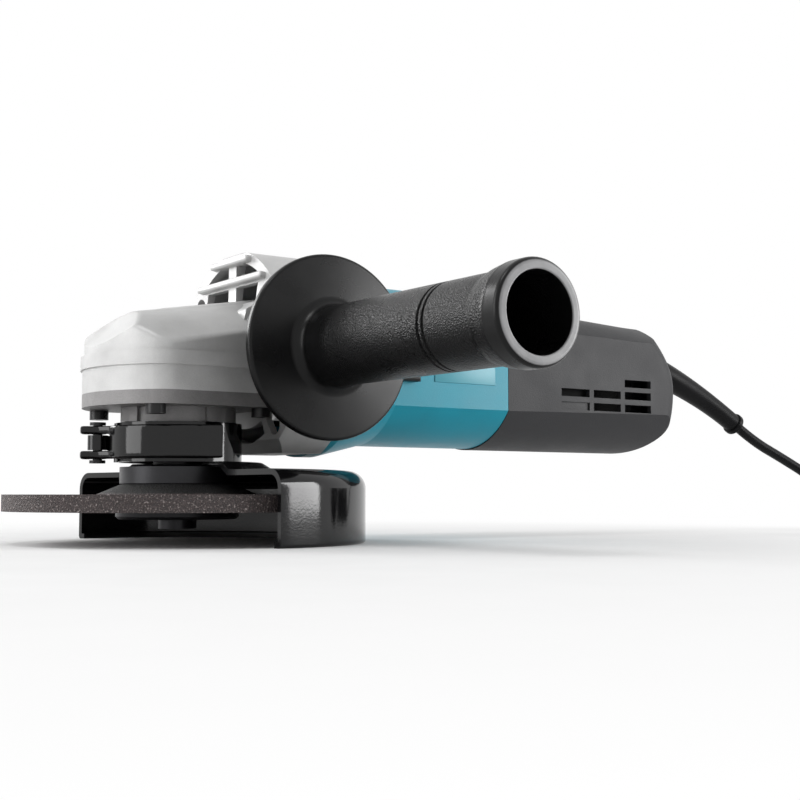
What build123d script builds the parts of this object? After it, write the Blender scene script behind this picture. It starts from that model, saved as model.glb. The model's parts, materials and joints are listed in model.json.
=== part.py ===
from build123d import *
import math
import os

# Angle grinder for 125 mm depressed-centre wheels, in millimetres.
# Heights in this file count from the tip of the spindle nose. The finished pieces are lowered to the part's origin,
# the centre of the lock nut's outer face. +Z runs up the spindle, +X from the gear head to the tail, and the side
# handle stands out towards -Y.

# Clearances
press_gap = 0.02  # radial room of a piece held fast in its seat
run_gap = 0.05  # radial room of a shaft in its bearing
slide_gap = 0.3  # room between pieces that move past each other
seam_gap = 0.25  # open seam between two mouldings

# Grinding wheel, lock nut and inner flange
wheel_r = 62.5
wheel_t = 6.0
wheel_bore_r = 11.1
wheel_rise = 4.0  # the centre stands this far above the rim
wheel_dish_r = 29.5
wheel_seat_r = 20.0
wheel_z = 6.5  # underside of the rim
nut_r = 22.5
nut_t = 7.0
nut_room = 1.5
nut_chamfer = 1.0
spanner_pcd = 35.0
spanner_hole_r = 2.5
spanner_holes = 2
flange_r = 21.2
flange_t = 6.0
flange_cone_r = 18.3
flange_cone_t = 1.6
pilot_t = 3.0

# Spindle
nose_r = 7.0
shoulder_r = 9.0
spindle_r = 6.0
spindle_top_r = 4.0

# Spindle bearing and bearing box
spindle_bearing_r = 16.0
spindle_bearing_t = 10.0
spindle_bearing_z = 28.0
neck_r = 21.1
neck_z = 24.3
neck_lip_r = 14.0
dust_ring_t = 2.6
retainer_r = 19.0
retainer_bore_r = 11.5
retainer_t = 3.0
pad_count = 4
pad_angle = 22.0
pad_turn = 12.0
pad_rise = 1.2
box_flange_z = 43.9
box_flange_t = 4.9
spigot_r = 23.6
spigot_wall = 2.2
spigot_t = 2.4
box_screw_x = 20.8
box_screw_y = 25.0
box_screw_r = 1.95
box_screw_length = 18.0
box_head_r = 3.5
box_head_t = 3.4
socket_r = 1.7
socket_depth = 2.0

# Gear case
case_wall = 3.2
case_half = 31.3  # half width across Y
case_nose = 34.6  # front of the case on -X
case_nose_r = 41.0
case_corner_r = 10.0
case_rear = 28.0
case_rear_wall = 4.0
belt_z = 57.6
belt_t = 5.0
belt_rise = 0.7
crown_inset = 0.6
roof_z = 82.5  # roof line above the spindle axis
roof_slope = 10.2
roof_r = 42.0
roof_wall = 3.5
brow_x = -33.0  # where the front slope starts
brow_z = 66.2
brow_slope = 43.5
eave_round = 3.0
case_boss_r = 5.0
case_boss_t = 13.0

# Bevel pair
motor_z = 64.5  # height of the motor axis
gear_teeth = 36
pinion_teeth = 12
module = 1.25
face_width = 7.0
pressure_angle = 20.0
gear_addendum = 0.8
pinion_addendum = 1.0
root_room = 0.25
gear_tooth_share = 0.40
pinion_tooth_share = 0.46
gear_rim = 3.0
gear_web_t = 7.0
gear_hub_r = 9.0
gear_hub_top = 2.0
circlip_t = 1.2
circlip_r = 5.6
pinion_hub_r = 7.0
pinion_hub_t = 5.0
pinion_nut_r = 4.2
pinion_nut_t = 4.0

# Spindle lock
lock_r = 12.5  # distance of the lock pin from the spindle axis
lock_holes = 4
lock_pin_r = 2.5
lock_rest_gap = 0.9
lock_travel = 4.0
lock_boss_r = 7.0
lock_boss_t = 9.0
lock_button_r = 5.4
lock_button_t = 4.0
lock_sink = 2.0
lock_spring_wire_r = 0.45
lock_spring_turns = 3
bush_r = 5.5
bush_t = 9.0
bush_boss_r = 8.0

# Fan shroud at the rear of the gear housing
shroud_r = 40.5
shroud_wall = 2.8
shroud_front_x = 16.5
shroud_front_low = 21.5  # lower front edge, below the motor axis
shroud_heel_x = 34.0  # where the lower front slope meets the flat underside
hood_foot_x = 12.5  # front of the hood, at hood_foot_z
hood_foot_z = 80.0
hood_lean = 0.69  # the hood's front runs back this much for each millimetre of height
hood_round = 6.0
cheek_front_x = 14.0
cheek_front_half = 26.0
cheek_rear_x = 34.0
shroud_rear_x = 51.0
shroud_flat_cut = 4.1  # taken off the barrel for its flat underside
vent_rows = ((84.0, 91.2), (95.3, 99.7))  # heights of the windows over the roof
vent_half = 20.0
vent_rib = 6.0
vent_depth_x = 38.0
vent_ring_t = 4.0  # ring left whole outside the windows
slot_rib = 4.0
slot_depth_x = 41.0
slot_rows = (27.0, 32.6)
slot_half_angle = 58.0
slot_rib_angle = 30.0
neck_room = 27.0
housing_screw_inset = 6.3  # from the outside of the shroud to the screws
housing_screw_angles = (40.0, 50.0)  # above and below the motor axis
housing_screw_r = 1.9
housing_screw_length = 26.0
housing_head_r = 3.4
housing_head_t = 3.0
housing_head_x = 37.0
housing_column_r = 4.9

# Side handle
handle_x = 33.0
handle_boss_r = 10.5
handle_boss_rise = 0.5  # the boss stands this far past the shroud
handle_thread_r = 4.0
handle_thread_depth = 13.0
handle_flange_r = 33.2
handle_flange_reach = 13.0  # the handle's lengths count from the boss that it seats on
handle_flange_t = 3.2
handle_root_r = 12.0
handle_back_t = 4.0
handle_dish = 1.6
handle_root_round = 4.0
handle_grip_r = 14.2
handle_waist_r = 13.4
handle_ring_reach = 67.0
handle_ring_w = 1.4
handle_ring_gap = 2.6
handle_lip_r = 16.2
handle_lip_reach = 117.0
handle_length = 124.0
handle_hole_r = 12.4
handle_hole_depth = 52.0
handle_stud_length = 42.0

# Guard
guard_r = 69.5
guard_sheet = 2.0
guard_top_z = 21.2
guard_hub_z = 24.2
guard_hub_r = 31.0
guard_step_r = 36.0
guard_bore_r = 22.4
guard_floor_z = -5.3
guard_lip = 4.0
guard_shoulder_round = 6.5
guard_near_edge = -87.0
guard_far_edge = 98.7
band_sheet = 2.0
band_top_z = 38.4
band_gap_angle = 167.0
band_gap = 2.0

# Clamp lever on the guard's band
lever_pin_ring = 29.2
lever_pin_angle = 160.6
lever_pin_r = 1.7
lever_pin_head_r = 2.9
lever_pin_head_t = 1.1
lever_z = 25.2
lever_top_z = 37.3
lever_sheet = 2.0
lever_room = 0.9
lever_knuckle_r = 3.6
lever_nose_reach = 6.4
lever_notch = 6.0
lever_turn_start = 176.0
lever_turn_end = 264.0
lever_tab_end = 277.0
lever_tab_rise = 3.6

# Motor
shaft_r = 5.0
shaft_pinion_r = 4.0
shaft_rear_r = 4.0
front_bearing_r = 15.0
front_bearing_t = 9.0
front_bearing_x = 29.5
seat_wall = 3.5
pinion_hole_r = 10.6
fan_x = 44.0
fan_t = 8.2
fan_disc_t = 2.0
fan_r = 28.0
fan_hub_r = 9.0
fan_blades = 12
fan_blade_t = 1.5
core_x = 72.0
core_length = 44.0
core_r = 18.0
core_slots = 12
core_slot_w = 2.4
core_slot_depth = 5.5
winding_length = 8.0
winding_r = 16.5
air_gap = 0.75
stator_r = 28.0
stator_flat = 23.0
coil_in_r = 20.2
coil_out_r = 25.6
coil_half_angle = 52.0
coil_side_angle = 10.0
coil_overhang = 6.0
coil_room = 0.3
commutator_x = 126.0
commutator_length = 13.0
commutator_r = 11.5
riser_h = 1.5
riser_t = 2.0
commutator_bars = 24
commutator_cut_w = 0.5
commutator_cut_depth = 0.7
rear_bearing_x = 143.0
rear_bearing_t = 7.0
rear_bearing_r = 11.0
baffle_x = 60.0
baffle_t = 2.5
baffle_r = 27.6
baffle_rim = 1.5
baffle_bore_r = 19.5
brush_x = 133.5
brush_w = 8.0
brush_h = 6.0
brush_length = 8.0
brush_gap = 0.3
brush_box_wall = 1.2
brush_spring_t = 1.0

# Motor housing
motor_wall = 2.6
motor_half = 29.0
motor_height = 32.5
motor_flat = 17.5
motor_front_step = 3.9  # the flared front is this much narrower than the shroud on each side
motor_front_drop = 3.1  # and this much lower at the top and bottom
motor_front_flat = 13.0
motor_front_t = 6.0
motor_taper_x = 78.0
motor_rear_x = 135.0
motor_spigot_length = 33.0
motor_spigot_wall = 2.2
spider_wall = 3.0
spider_back_t = 2.0
spider_arm_w = 4.0
spider_angle = 40.0
saddle_half = 6.0
motor_post_r = 4.2
motor_post_length = 22.0

# Tail cover
tail_wall = 2.4
tail_end_x = 250.0
tail_half_end = 27.6
tail_top = 31.0  # above the motor axis, at the front edge
tail_top_end = 24.6
tail_bottom = 33.0
tail_side_round = 24.5
tail_plan_round = 26.0
tail_vent_x = 165.0
tail_vent_length = 16.5
tail_vent_rib = 2.5
tail_vent_h = 3.4
tail_vent_rows = ((50.5, (1, 2)), (56.2, (0, 1, 2)), (61.6, (2,)))
tail_groove_z = 50.5  # blind groove ahead of the lowest row
tail_groove_depth = 0.8
tail_screw_x = 150.0
tail_screw_r = 1.8
tail_screw_length = 9.0
tail_head_r = 3.4
tail_head_t = 1.6

# Switch, lead and cord entry
knob_x = 62.0
knob_length = 26.0
knob_z = 63.5
knob_h = 14.0
knob_t = 3.6
knob_ribs = 5
pocket_room = 0.8
switch_travel = 6.0
rod_t = 1.7
rod_h = 5.0
rod_z = 57.0
rod_wall_room = 0.8
stem_length = 12.0
stem_h = 2.0
stem_z = 58.2
switch_x = 186.0
switch_length = 28.0
switch_w = 18.0
switch_h = 22.0
switch_y = -9.0
switch_z = 48.0
capacitor_x = 169.0
capacitor_length = 13.0
capacitor_w = 16.0
capacitor_h = 12.0
capacitor_rise = 1.6
rib_t = 2.0
clamp_x = 226.0
clamp_length = 10.0
clamp_w = 22.0
clamp_t = 2.6
clamp_screw_r = 1.5
clamp_head_r = 2.8
clamp_head_t = 1.8
clamp_screw_length = 11.0
clamp_screw_pitch = 16.4

# Cord
cord_r = 2.5
boot_z = 72.5
boot_root_r = 6.5
boot_tip_r = 4.6
boot_bead_r = 5.4
boot_bead_t = 3.0
boot_length = 64.0
boot_slope_start = 17.0
boot_slope_end = 29.5
boot_collar_r = 7.2
boot_root_depth = 12.0  # the collar sits this far inside the cover's end
boot_collar_t = 2.5
tie_t = 1.0
tie_w = 6.0
coil_x = 384.0
coil_y = -66.0
coil_mid_r = 30.0
coil_pitch = 5.5
coil_steps = 5  # half turns across one layer
coil_layers = 4
plug_r = 17.5
plug_length = 40.0
plug_neck_r = 6.5
plug_face_t = 14.0
plug_pin_r = 2.4
plug_pin_length = 19.0
plug_pin_pitch = 19.0

# Heights and places that follow from the values above
wheel_seat_z = wheel_z + wheel_rise
nut_face_z = wheel_seat_z - nut_t
flange_z = wheel_seat_z + wheel_t
flange_top_z = flange_z + flange_t
bearing_top_z = spindle_bearing_z + spindle_bearing_t
case_z = box_flange_z + box_flange_t
cone_gear = math.atan2(gear_teeth, pinion_teeth)
cone_pinion = math.pi / 2 - cone_gear
gear_r = module * gear_teeth / 2
pinion_r = module * pinion_teeth / 2
cone_length = math.hypot(gear_r, pinion_r)
face_share = (cone_length - face_width) / cone_length
shroud_flat = shroud_r - shroud_flat_cut
vent_ring_r = shroud_r - vent_ring_t
housing_screw_ring = shroud_r - housing_screw_inset
handle_boss_y = shroud_r + handle_boss_rise
handle_flange_y = handle_boss_y + handle_flange_reach
handle_ring_y = handle_boss_y + handle_ring_reach
handle_lip_y = handle_boss_y + handle_lip_reach
handle_end_y = handle_boss_y + handle_length
motor_front_half = shroud_r - motor_front_step
motor_front_height = shroud_r - motor_front_drop
band_r = neck_r + slide_gap
band_out_r = band_r + band_sheet
shaft_end_x = rear_bearing_x + rear_bearing_t
tail_floor_z = motor_z - tail_bottom + tail_wall
capacitor_z = tail_floor_z + capacitor_rise
rod_y = -(motor_half - motor_wall - rod_wall_room)
cord_floor_z = guard_floor_z + tie_t + slide_gap + cord_r
motor_axis = Axis((0, 0, motor_z), (1, 0, 0))
handle_axis = Axis((handle_x, 0, motor_z), (0, -1, 0))
lever_pin_x = lever_pin_ring * math.cos(math.radians(lever_pin_angle))
lever_pin_y = lever_pin_ring * math.sin(math.radians(lever_pin_angle))
LOW = (Align.CENTER, Align.CENTER, Align.MIN)


# Basic solids

def rod_up(radius, z0, z1, x=0.0, y=0.0):
    """Round bar along Z."""
    return Pos(x, y, z0) * Cylinder(radius, z1 - z0, align=LOW)


def rod_back(radius, x0, x1, y=0.0, z=motor_z):
    """Round bar along X."""
    return Pos(x0, y, z) * Rot(0, 90, 0) * Cylinder(radius, x1 - x0, align=LOW)


def rod_side(radius, y0, y1, x, z):
    """Round bar along Y."""
    return Pos(x, y0, z) * Rot(-90, 0, 0) * Cylinder(radius, y1 - y0, align=LOW)


def block(x0, x1, y0, y1, z0, z1):
    """Plain block between two corners."""
    return Pos((x0 + x1) / 2, (y0 + y1) / 2, (z0 + z1) / 2) * Box(x1 - x0, y1 - y0, z1 - z0)


def outline(points, radii=None):
    """Closed flat face through the points, with a round at each corner."""
    if radii is None:
        return make_face(Polyline(*points, close=True))
    return make_face(FilletPolyline(*points, radius=radii, close=True))


def turned_z(points, radii=None, start=0.0, arc=360.0):
    """Solid turned about the spindle axis from (radius, z) points."""
    return Rot(0, 0, start) * revolve(Plane.XZ * outline(points, radii), Axis.Z, arc)


def turned_x(points, radii=None):
    """Solid turned about the motor axis from (x, radius) points."""
    plane = Plane((0, 0, motor_z), x_dir=(1, 0, 0), z_dir=(0, -1, 0))
    return revolve(plane * outline(points, radii), motor_axis)


def sector_x(r0, r1, x0, x1, middle, half):
    """Part of a ring about the motor axis. Angles run from +Z towards -Y."""
    ring = turned_x([(x0, r0), (x1, r0), (x1, r1), (x0, r1)])
    reach = 2 * r1
    rays = [math.radians(middle + side * half) for side in (-1, 1)]
    corners = [(-reach * math.sin(a), reach * math.cos(a)) for a in rays]
    far = [(-2 * reach * math.sin(math.radians(middle)), 2 * reach * math.cos(math.radians(middle)))]
    wedge = outline([(0, 0), corners[0], far[0], corners[1]])
    plane = Plane((x0, 0, motor_z), x_dir=(0, 1, 0), z_dir=(1, 0, 0))
    return ring & extrude(plane * wedge, x1 - x0)


def barrel(x, half, top, bottom, flat):
    """Cross-section of the body at one X: straight sides under a bowed top and bottom."""
    plane = Plane((x, 0, motor_z), x_dir=(0, 1, 0), z_dir=(1, 0, 0))
    edges = [
        Line((half, -flat), (half, flat)),
        ThreePointArc((half, flat), (0, top), (-half, flat)),
        Line((-half, flat), (-half, -flat)),
        ThreePointArc((-half, -flat), (0, -bottom), (half, -flat)),
    ]
    return plane * make_face(Wire(edges))


def corner_screws(make):
    """One copy of a screw at each corner of the bearing box."""
    return [make(sx * box_screw_x, sy * box_screw_y) for sx in (-1, 1) for sy in (-1, 1)]


def housing_screw_places():
    """Y and Z of the four screws that hold the gear housing to the motor housing."""
    places = []
    for way, angle in zip((1, -1), housing_screw_angles):
        y = housing_screw_ring * math.cos(math.radians(angle))
        z = motor_z + way * housing_screw_ring * math.sin(math.radians(angle))
        places += [(y, z), (-y, z)]
    return places


# Wheel, flange, nut and spindle

def grinding_wheel():
    slope = wheel_rise / (wheel_dish_r - wheel_seat_r)
    recess_r = nut_r + nut_room
    recess_foot = recess_r + wheel_rise / slope * 0.75
    top = wheel_z + wheel_t
    return turned_z([
        (wheel_bore_r, wheel_seat_z), (recess_r, wheel_seat_z), (recess_foot, wheel_z), (wheel_r, wheel_z),
        (wheel_r, top), (wheel_dish_r, top), (wheel_seat_r, top + wheel_rise), (wheel_bore_r, top + wheel_rise),
    ])


def inner_flange():
    body = turned_z([
        (nose_r + press_gap, flange_z - pilot_t), (wheel_bore_r - press_gap, flange_z - pilot_t),
        (wheel_bore_r - press_gap, flange_z), (flange_r, flange_z), (flange_r, flange_top_z),
        (flange_cone_r, flange_top_z), (flange_cone_r - flange_cone_t, flange_top_z + flange_cone_t / 2),
        (shoulder_r + press_gap, flange_top_z + flange_cone_t / 2), (shoulder_r + press_gap, flange_top_z),
        (nose_r + press_gap, flange_top_z),
    ])
    return body


def lock_nut():
    low = nut_face_z
    nut = turned_z([
        (nose_r + press_gap, low), (nut_r - nut_chamfer, low), (nut_r, low + nut_chamfer),
        (nut_r, wheel_seat_z), (nose_r + press_gap, wheel_seat_z),
    ])
    hole = rod_up(spanner_hole_r, low, wheel_seat_z, spanner_pcd / 2)
    return nut - [Rot(0, 0, i * 360 / spanner_holes + 45) * hole for i in range(spanner_holes)]


def spindle():
    gear_top = motor_z - cone_length * face_share * math.cos(cone_gear) + gear_hub_top
    step = gear_top + circlip_t + slide_gap
    return turned_z([
        (0, 0), (nose_r, 0), (nose_r, flange_top_z),
        (shoulder_r, flange_top_z), (shoulder_r, spindle_bearing_z - slide_gap),
        (spindle_r, spindle_bearing_z - slide_gap), (spindle_r, step), (spindle_top_r, step),
        (spindle_top_r, bush_top_z()), (0, bush_top_z()),
    ])


def bush_top_z():
    return roof_z - roof_wall - slide_gap


def ball_bearing_profile(bore, outer, width):
    """Half section of a sealed bearing: two rings with recessed shields between them."""
    third = (outer - bore) / 3
    sink = width / 12
    return [
        (0, bore), (0, bore + third), (sink, bore + third), (sink, outer - third), (0, outer - third), (0, outer),
        (width, outer), (width, outer - third), (width - sink, outer - third), (width - sink, bore + third),
        (width, bore + third), (width, bore),
    ]


def spindle_bearing():
    half = ball_bearing_profile(spindle_r + run_gap, spindle_bearing_r - press_gap, spindle_bearing_t)
    return turned_z([(r, spindle_bearing_z + w) for w, r in half])


def bearing_retainer():
    return turned_z([
        (retainer_bore_r, bearing_top_z), (retainer_r - press_gap, bearing_top_z),
        (retainer_r - press_gap, bearing_top_z + retainer_t), (retainer_bore_r, bearing_top_z + retainer_t),
    ])


def dust_ring():
    low = spindle_bearing_z - dust_ring_t - slide_gap
    return turned_z([
        (shoulder_r + slide_gap, low), (neck_lip_r - press_gap, low),
        (neck_lip_r - press_gap, low + dust_ring_t), (shoulder_r + slide_gap, low + dust_ring_t),
    ])


# Gear case

def case_plan(inset):
    """Plan of the gear case: bowed front, round corners and straight sides."""
    half = case_half - inset
    bow = Pos(case_nose_r - case_nose, 0) * Circle(case_nose_r - inset)
    sides = Rectangle(4 * case_nose_r, 2 * half)
    rear = Pos(case_rear - inset - 2 * case_nose_r, 0) * Rectangle(4 * case_nose_r, 4 * case_nose_r)
    plan = bow & sides & rear
    return fillet(plan.vertices().sort_by(Axis.X)[:2], case_corner_r - inset)


def case_solid(inset, floor_z, sink):
    """The gear case filled in, drawn in by inset at the walls and by sink at the roof."""
    lean = math.radians(roof_slope)
    along = Vector(math.cos(lean), 0, math.sin(lean))
    centre = Vector(0, 0, roof_z - roof_r / math.cos(lean))
    long = 4 * case_nose
    down = Vector(math.sin(lean), 0, -math.cos(lean))
    arch = Plane(centre - along * long, x_dir=down, z_dir=along) * Cylinder(roof_r - sink, 2 * long, align=LOW)
    tilt = math.radians(brow_slope)
    up = Vector(-math.sin(tilt), 0, math.cos(tilt))
    brow = Plane(Vector(brow_x, 0, brow_z) - up * sink, x_dir=(math.cos(tilt), 0, math.sin(tilt)), z_dir=up)
    slab = brow * Box(4 * long, 4 * long, 2 * long, align=(Align.CENTER, Align.CENTER, Align.MAX))
    return extrude(Pos(0, 0, floor_z) * case_plan(inset), roof_z + case_nose - floor_z) & arch & slab


def case_shell_outside():
    body = case_solid(crown_inset, case_z, 0)
    ridge = [e for e in body.edges() if e.center().Z > brow_z + 1 and e.center().X < case_rear - 1]
    body = fillet(ridge, eave_round)
    skirt = extrude(Pos(0, 0, case_z) * case_plan(0), belt_z - case_z)
    belt = extrude(Pos(0, 0, belt_z) * case_plan(-belt_rise), belt_t)
    return body + skirt + belt


def shroud_solid(inset):
    """The fan shroud filled in: a barrel cut by the leaning hood, the lower front slope and two cheeks."""
    low = motor_z - shroud_flat + inset
    top = motor_z + shroud_r
    lean = inset * math.hypot(1, hood_lean)
    hood_top_x = hood_foot_x + hood_lean * (top - hood_foot_z)
    reach = 2 * shroud_r
    side = outline(
        [
            (shroud_front_x + inset, motor_z - shroud_front_low + inset), (shroud_heel_x + inset, low),
            (shroud_rear_x, low), (shroud_rear_x, top), (hood_top_x + lean, top),
            (hood_foot_x + lean, hood_foot_z),
        ],
        [0, 0, 0, 0, hood_round, 0],
    )
    side = extrude(Plane((0, reach, 0), x_dir=(1, 0, 0), z_dir=(0, -1, 0)) * side, 2 * reach)
    front, rear = cheek_front_half - inset, shroud_r - inset
    plan = outline([
        (0, -front), (cheek_front_x, -front), (cheek_rear_x, -rear), (shroud_rear_x, -rear),
        (shroud_rear_x, rear), (cheek_rear_x, rear), (cheek_front_x, front), (0, front),
    ])
    return rod_back(shroud_r - inset, 0, shroud_rear_x) & side & extrude(plan, 3 * motor_z)


def vent_cutters():
    """Windows in the shroud: two level rows over the roof and one curved slot row underneath."""
    cutters = []
    inside_ring = rod_back(vent_ring_r, 0, vent_depth_x)
    for z0, z1 in vent_rows:
        for side in (-1, 1):
            y0, y1 = sorted((side * vent_rib / 2, side * vent_half))
            cutters.append(block(0, vent_depth_x, y0, y1, z0, z1) & inside_ring)
    rib = math.degrees(slot_rib / slot_rows[1])
    half = slot_rib_angle - rib / 2
    outer_half = (slot_half_angle - slot_rib_angle - rib / 2) / 2
    cutters.append(sector_x(*slot_rows, 0, slot_depth_x, 180, half))
    for side in (-1, 1):
        middle = 180 + side * (slot_rib_angle + rib / 2 + outer_half)
        cutters.append(sector_x(*slot_rows, 0, slot_depth_x, middle, outer_half))
    return cutters


def gear_housing():
    case = case_shell_outside()
    case_inside = case_solid(case_wall, case_z, roof_wall)
    case_inside = case_inside & block(
        -2 * case_nose, case_rear - case_rear_wall, -case_half, case_half, case_z, 2 * roof_z
    )
    under = extrude(case_plan(-slide_gap), case_z)
    under_wall = extrude(case_plan(-slide_gap - shroud_wall), case_z + shroud_wall)
    neck = rod_up(neck_room, 0, case_z)
    shroud = shroud_solid(0) - under - neck
    void = shroud_solid(shroud_wall) - case - under_wall - rod_up(neck_room + shroud_wall, 0, case_z)
    body = shroud - void + case
    for cutter in vent_cutters():
        body = body - (cutter - case)
    for y, z in housing_screw_places():
        column = rod_back(housing_column_r, housing_head_x - 2, shroud_rear_x, y, z)
        body = body + (column & shroud_solid(0))
    for side in (-1, 1):
        inner_y = handle_boss_y - handle_thread_depth - case_wall / 2
        y0, y1 = sorted((side * inner_y, side * handle_boss_y))
        body = body + rod_side(handle_boss_r, y0, y1, handle_x, motor_z)
    seat_r = front_bearing_r + seat_wall
    seat = rod_back(seat_r, case_rear - 0.5, front_bearing_x + front_bearing_t)
    seat = seat & block(
        case_rear - 1, front_bearing_x + front_bearing_t + 1, -2 * seat_r, 2 * seat_r, case_z, motor_z + 2 * seat_r
    )
    body = body + seat
    body = body - case_inside
    bosses = corner_screws(lambda x, y: rod_up(case_boss_r, case_z, case_z + case_boss_t, x, y))
    roof = case_solid(crown_inset, case_z, roof_wall / 2)
    turret = rod_up(bush_boss_r, bush_top_z() - bush_t, roof_z, 0)
    lock_boss = rod_up(lock_boss_r, lock_boss_low(), roof_z, -lock_r)
    body = body + [(b & roof) for b in bosses] + (turret & roof) + (lock_boss & roof)
    cuts = corner_screws(
        lambda x, y: rod_up(box_screw_r + press_gap, case_z, box_screw_top(), x, y)
    )
    for y, z in housing_screw_places():
        cuts.append(rod_back(housing_screw_r + slide_gap, housing_head_x, shroud_rear_x, y, z))
        cuts.append(rod_back(housing_head_r + slide_gap, 0, housing_head_x + housing_head_t, y, z) - case)
    for side in (-1, 1):
        y0, y1 = sorted((side * (handle_boss_y - handle_thread_depth), side * (handle_boss_y + 1)))
        cuts.append(rod_side(handle_thread_r, y0, y1, handle_x, motor_z))
    cuts.append(rod_back(front_bearing_r, front_bearing_x, fan_x))
    cuts.append(rod_back(pinion_hole_r, case_rear - case_rear_wall - 1, front_bearing_x))
    cuts.append(rod_up(bush_r, bush_top_z() - bush_t - 1, bush_top_z()))
    cuts.append(rod_up(lock_button_r + slide_gap, lock_shelf_z(), 2 * roof_z, -lock_r))
    cuts.append(rod_up(lock_pin_r + slide_gap, lock_boss_low() - 1, lock_shelf_z(), -lock_r))
    return body - cuts


def box_screw_top():
    return box_flange_z + box_screw_length - box_head_t


def bearing_box():
    plate = extrude(Pos(0, 0, box_flange_z) * case_plan(0), box_flange_t)
    neck = rod_up(neck_r, neck_z, box_flange_z)
    pad_span = math.radians(pad_angle / 2)
    pad_r = neck_r + pad_rise
    pad = extrude(
        Pos(0, 0, band_top_z + slide_gap)
        * outline([
            (0, 0), (pad_r * math.cos(pad_span), -pad_r * math.sin(pad_span)), (pad_r, 0),
            (pad_r * math.cos(pad_span), pad_r * math.sin(pad_span)),
        ]),
        box_flange_z - band_top_z - slide_gap,
    )
    pads = [Rot(0, 0, pad_turn + i * 360 / pad_count) * pad for i in range(pad_count)]
    spigot = rod_up(spigot_r, case_z, case_z + spigot_t)
    body = plate + neck + pads + spigot
    cuts = [
        rod_up(neck_lip_r, neck_z, spindle_bearing_z),
        rod_up(spindle_bearing_r, spindle_bearing_z, bearing_top_z),
        rod_up(retainer_r, bearing_top_z, case_z + spigot_t),
        rod_up(spigot_r - spigot_wall, case_z, case_z + spigot_t),
    ]
    cuts += corner_screws(lambda x, y: rod_up(box_screw_r + slide_gap, box_flange_z, case_z, x, y))
    return body - cuts


def cap_screw(x, y):
    shank = rod_up(box_screw_r, box_flange_z - box_head_t / 2, box_screw_top(), x, y)
    head = rod_up(box_head_r, box_flange_z - box_head_t, box_flange_z, x, y)
    low = box_flange_z - box_head_t
    socket = extrude(Pos(x, y, low) * RegularPolygon(socket_r, 6), socket_depth)
    return shank + head - socket


def bearing_box_screws():
    return corner_screws(cap_screw)


# Bevel pair

def involute(angle):
    return math.tan(angle) - angle


def tooth_outline(teeth, cone, addendum, dedendum, share):
    """Tooth on the back cone as (across, up) points, from the involute of the equal spur gear."""
    radius = module * teeth / 2 / math.cos(cone)
    pressure = math.radians(pressure_angle)
    base = radius * math.cos(pressure)
    half_pitch_angle = share * math.pi * module / 2 / radius
    right = []
    for level in (-dedendum - root_room, -dedendum / 2, 0, addendum / 2, addendum):
        rho = radius + level * module
        roll = math.acos(min(1.0, base / rho))
        psi = half_pitch_angle + involute(pressure) - involute(roll)
        right.append((rho * math.sin(psi), rho * math.cos(psi) - radius))
    return right + [(-w, h) for w, h in reversed(right)]


def bevel_tooth(points, along, up, across):
    """One straight tooth that narrows towards the cone's apex on the spindle axis."""
    apex = Vector(0, 0, motor_z)
    ends = []
    for share in (1.0, face_share):
        corners = [apex + (along * cone_length + up * h + across * w) * share for w, h in points]
        ends.append(make_face(Polyline(*corners, close=True)))
    return loft(ends, ruled=True)


def gear_root(share, drop):
    """Radius and height of the bevel wheel's root line, at a share of the cone length."""
    s, c = math.sin(cone_gear), math.cos(cone_gear)
    depth = (pinion_addendum + root_room) * module + drop / share
    return share * (cone_length * s - depth * c), motor_z - share * (cone_length * c + depth * s)


def bevel_gear():
    outer = gear_root(1.0, 0)
    inner = gear_root(face_share, 0)
    back = gear_root(1.0, gear_rim)
    low = inner[1] - gear_web_t
    blank = turned_z([
        (spindle_r + press_gap, bearing_top_z + slide_gap), (gear_hub_r, bearing_top_z + slide_gap),
        (gear_hub_r, low), (back[0] - (back[1] - low) / 2, low), back, outer, inner, (gear_hub_r, inner[1]),
        (gear_hub_r, inner[1] + gear_hub_top), (spindle_r + press_gap, inner[1] + gear_hub_top),
    ])
    s, c = math.sin(cone_gear), math.cos(cone_gear)
    points = tooth_outline(
        gear_teeth, cone_gear, gear_addendum, pinion_addendum + root_room, gear_tooth_share
    )
    tooth = bevel_tooth(points, Vector(s, 0, -c), Vector(c, 0, s), Vector(0, 1, 0))
    teeth = [Rot(0, 0, i * 360 / gear_teeth) * tooth for i in range(gear_teeth)]
    hole = rod_up(lock_pin_r + slide_gap, low, motor_z, lock_r)
    holes = [Rot(0, 0, i * 360 / lock_holes) * hole for i in range(lock_holes)]
    return blank + teeth - holes


def gear_circlip():
    low = gear_root(face_share, 0)[1] + gear_hub_top
    ring = turned_z([
        (spindle_r + press_gap, low), (spindle_r + circlip_r / 2, low),
        (spindle_r + circlip_r / 2, low + circlip_t), (spindle_r + press_gap, low + circlip_t),
    ])
    mouth = block(-2 * spindle_r, 0, -spindle_r / 2, spindle_r / 2, low, low + circlip_t)
    return ring - mouth


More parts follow.
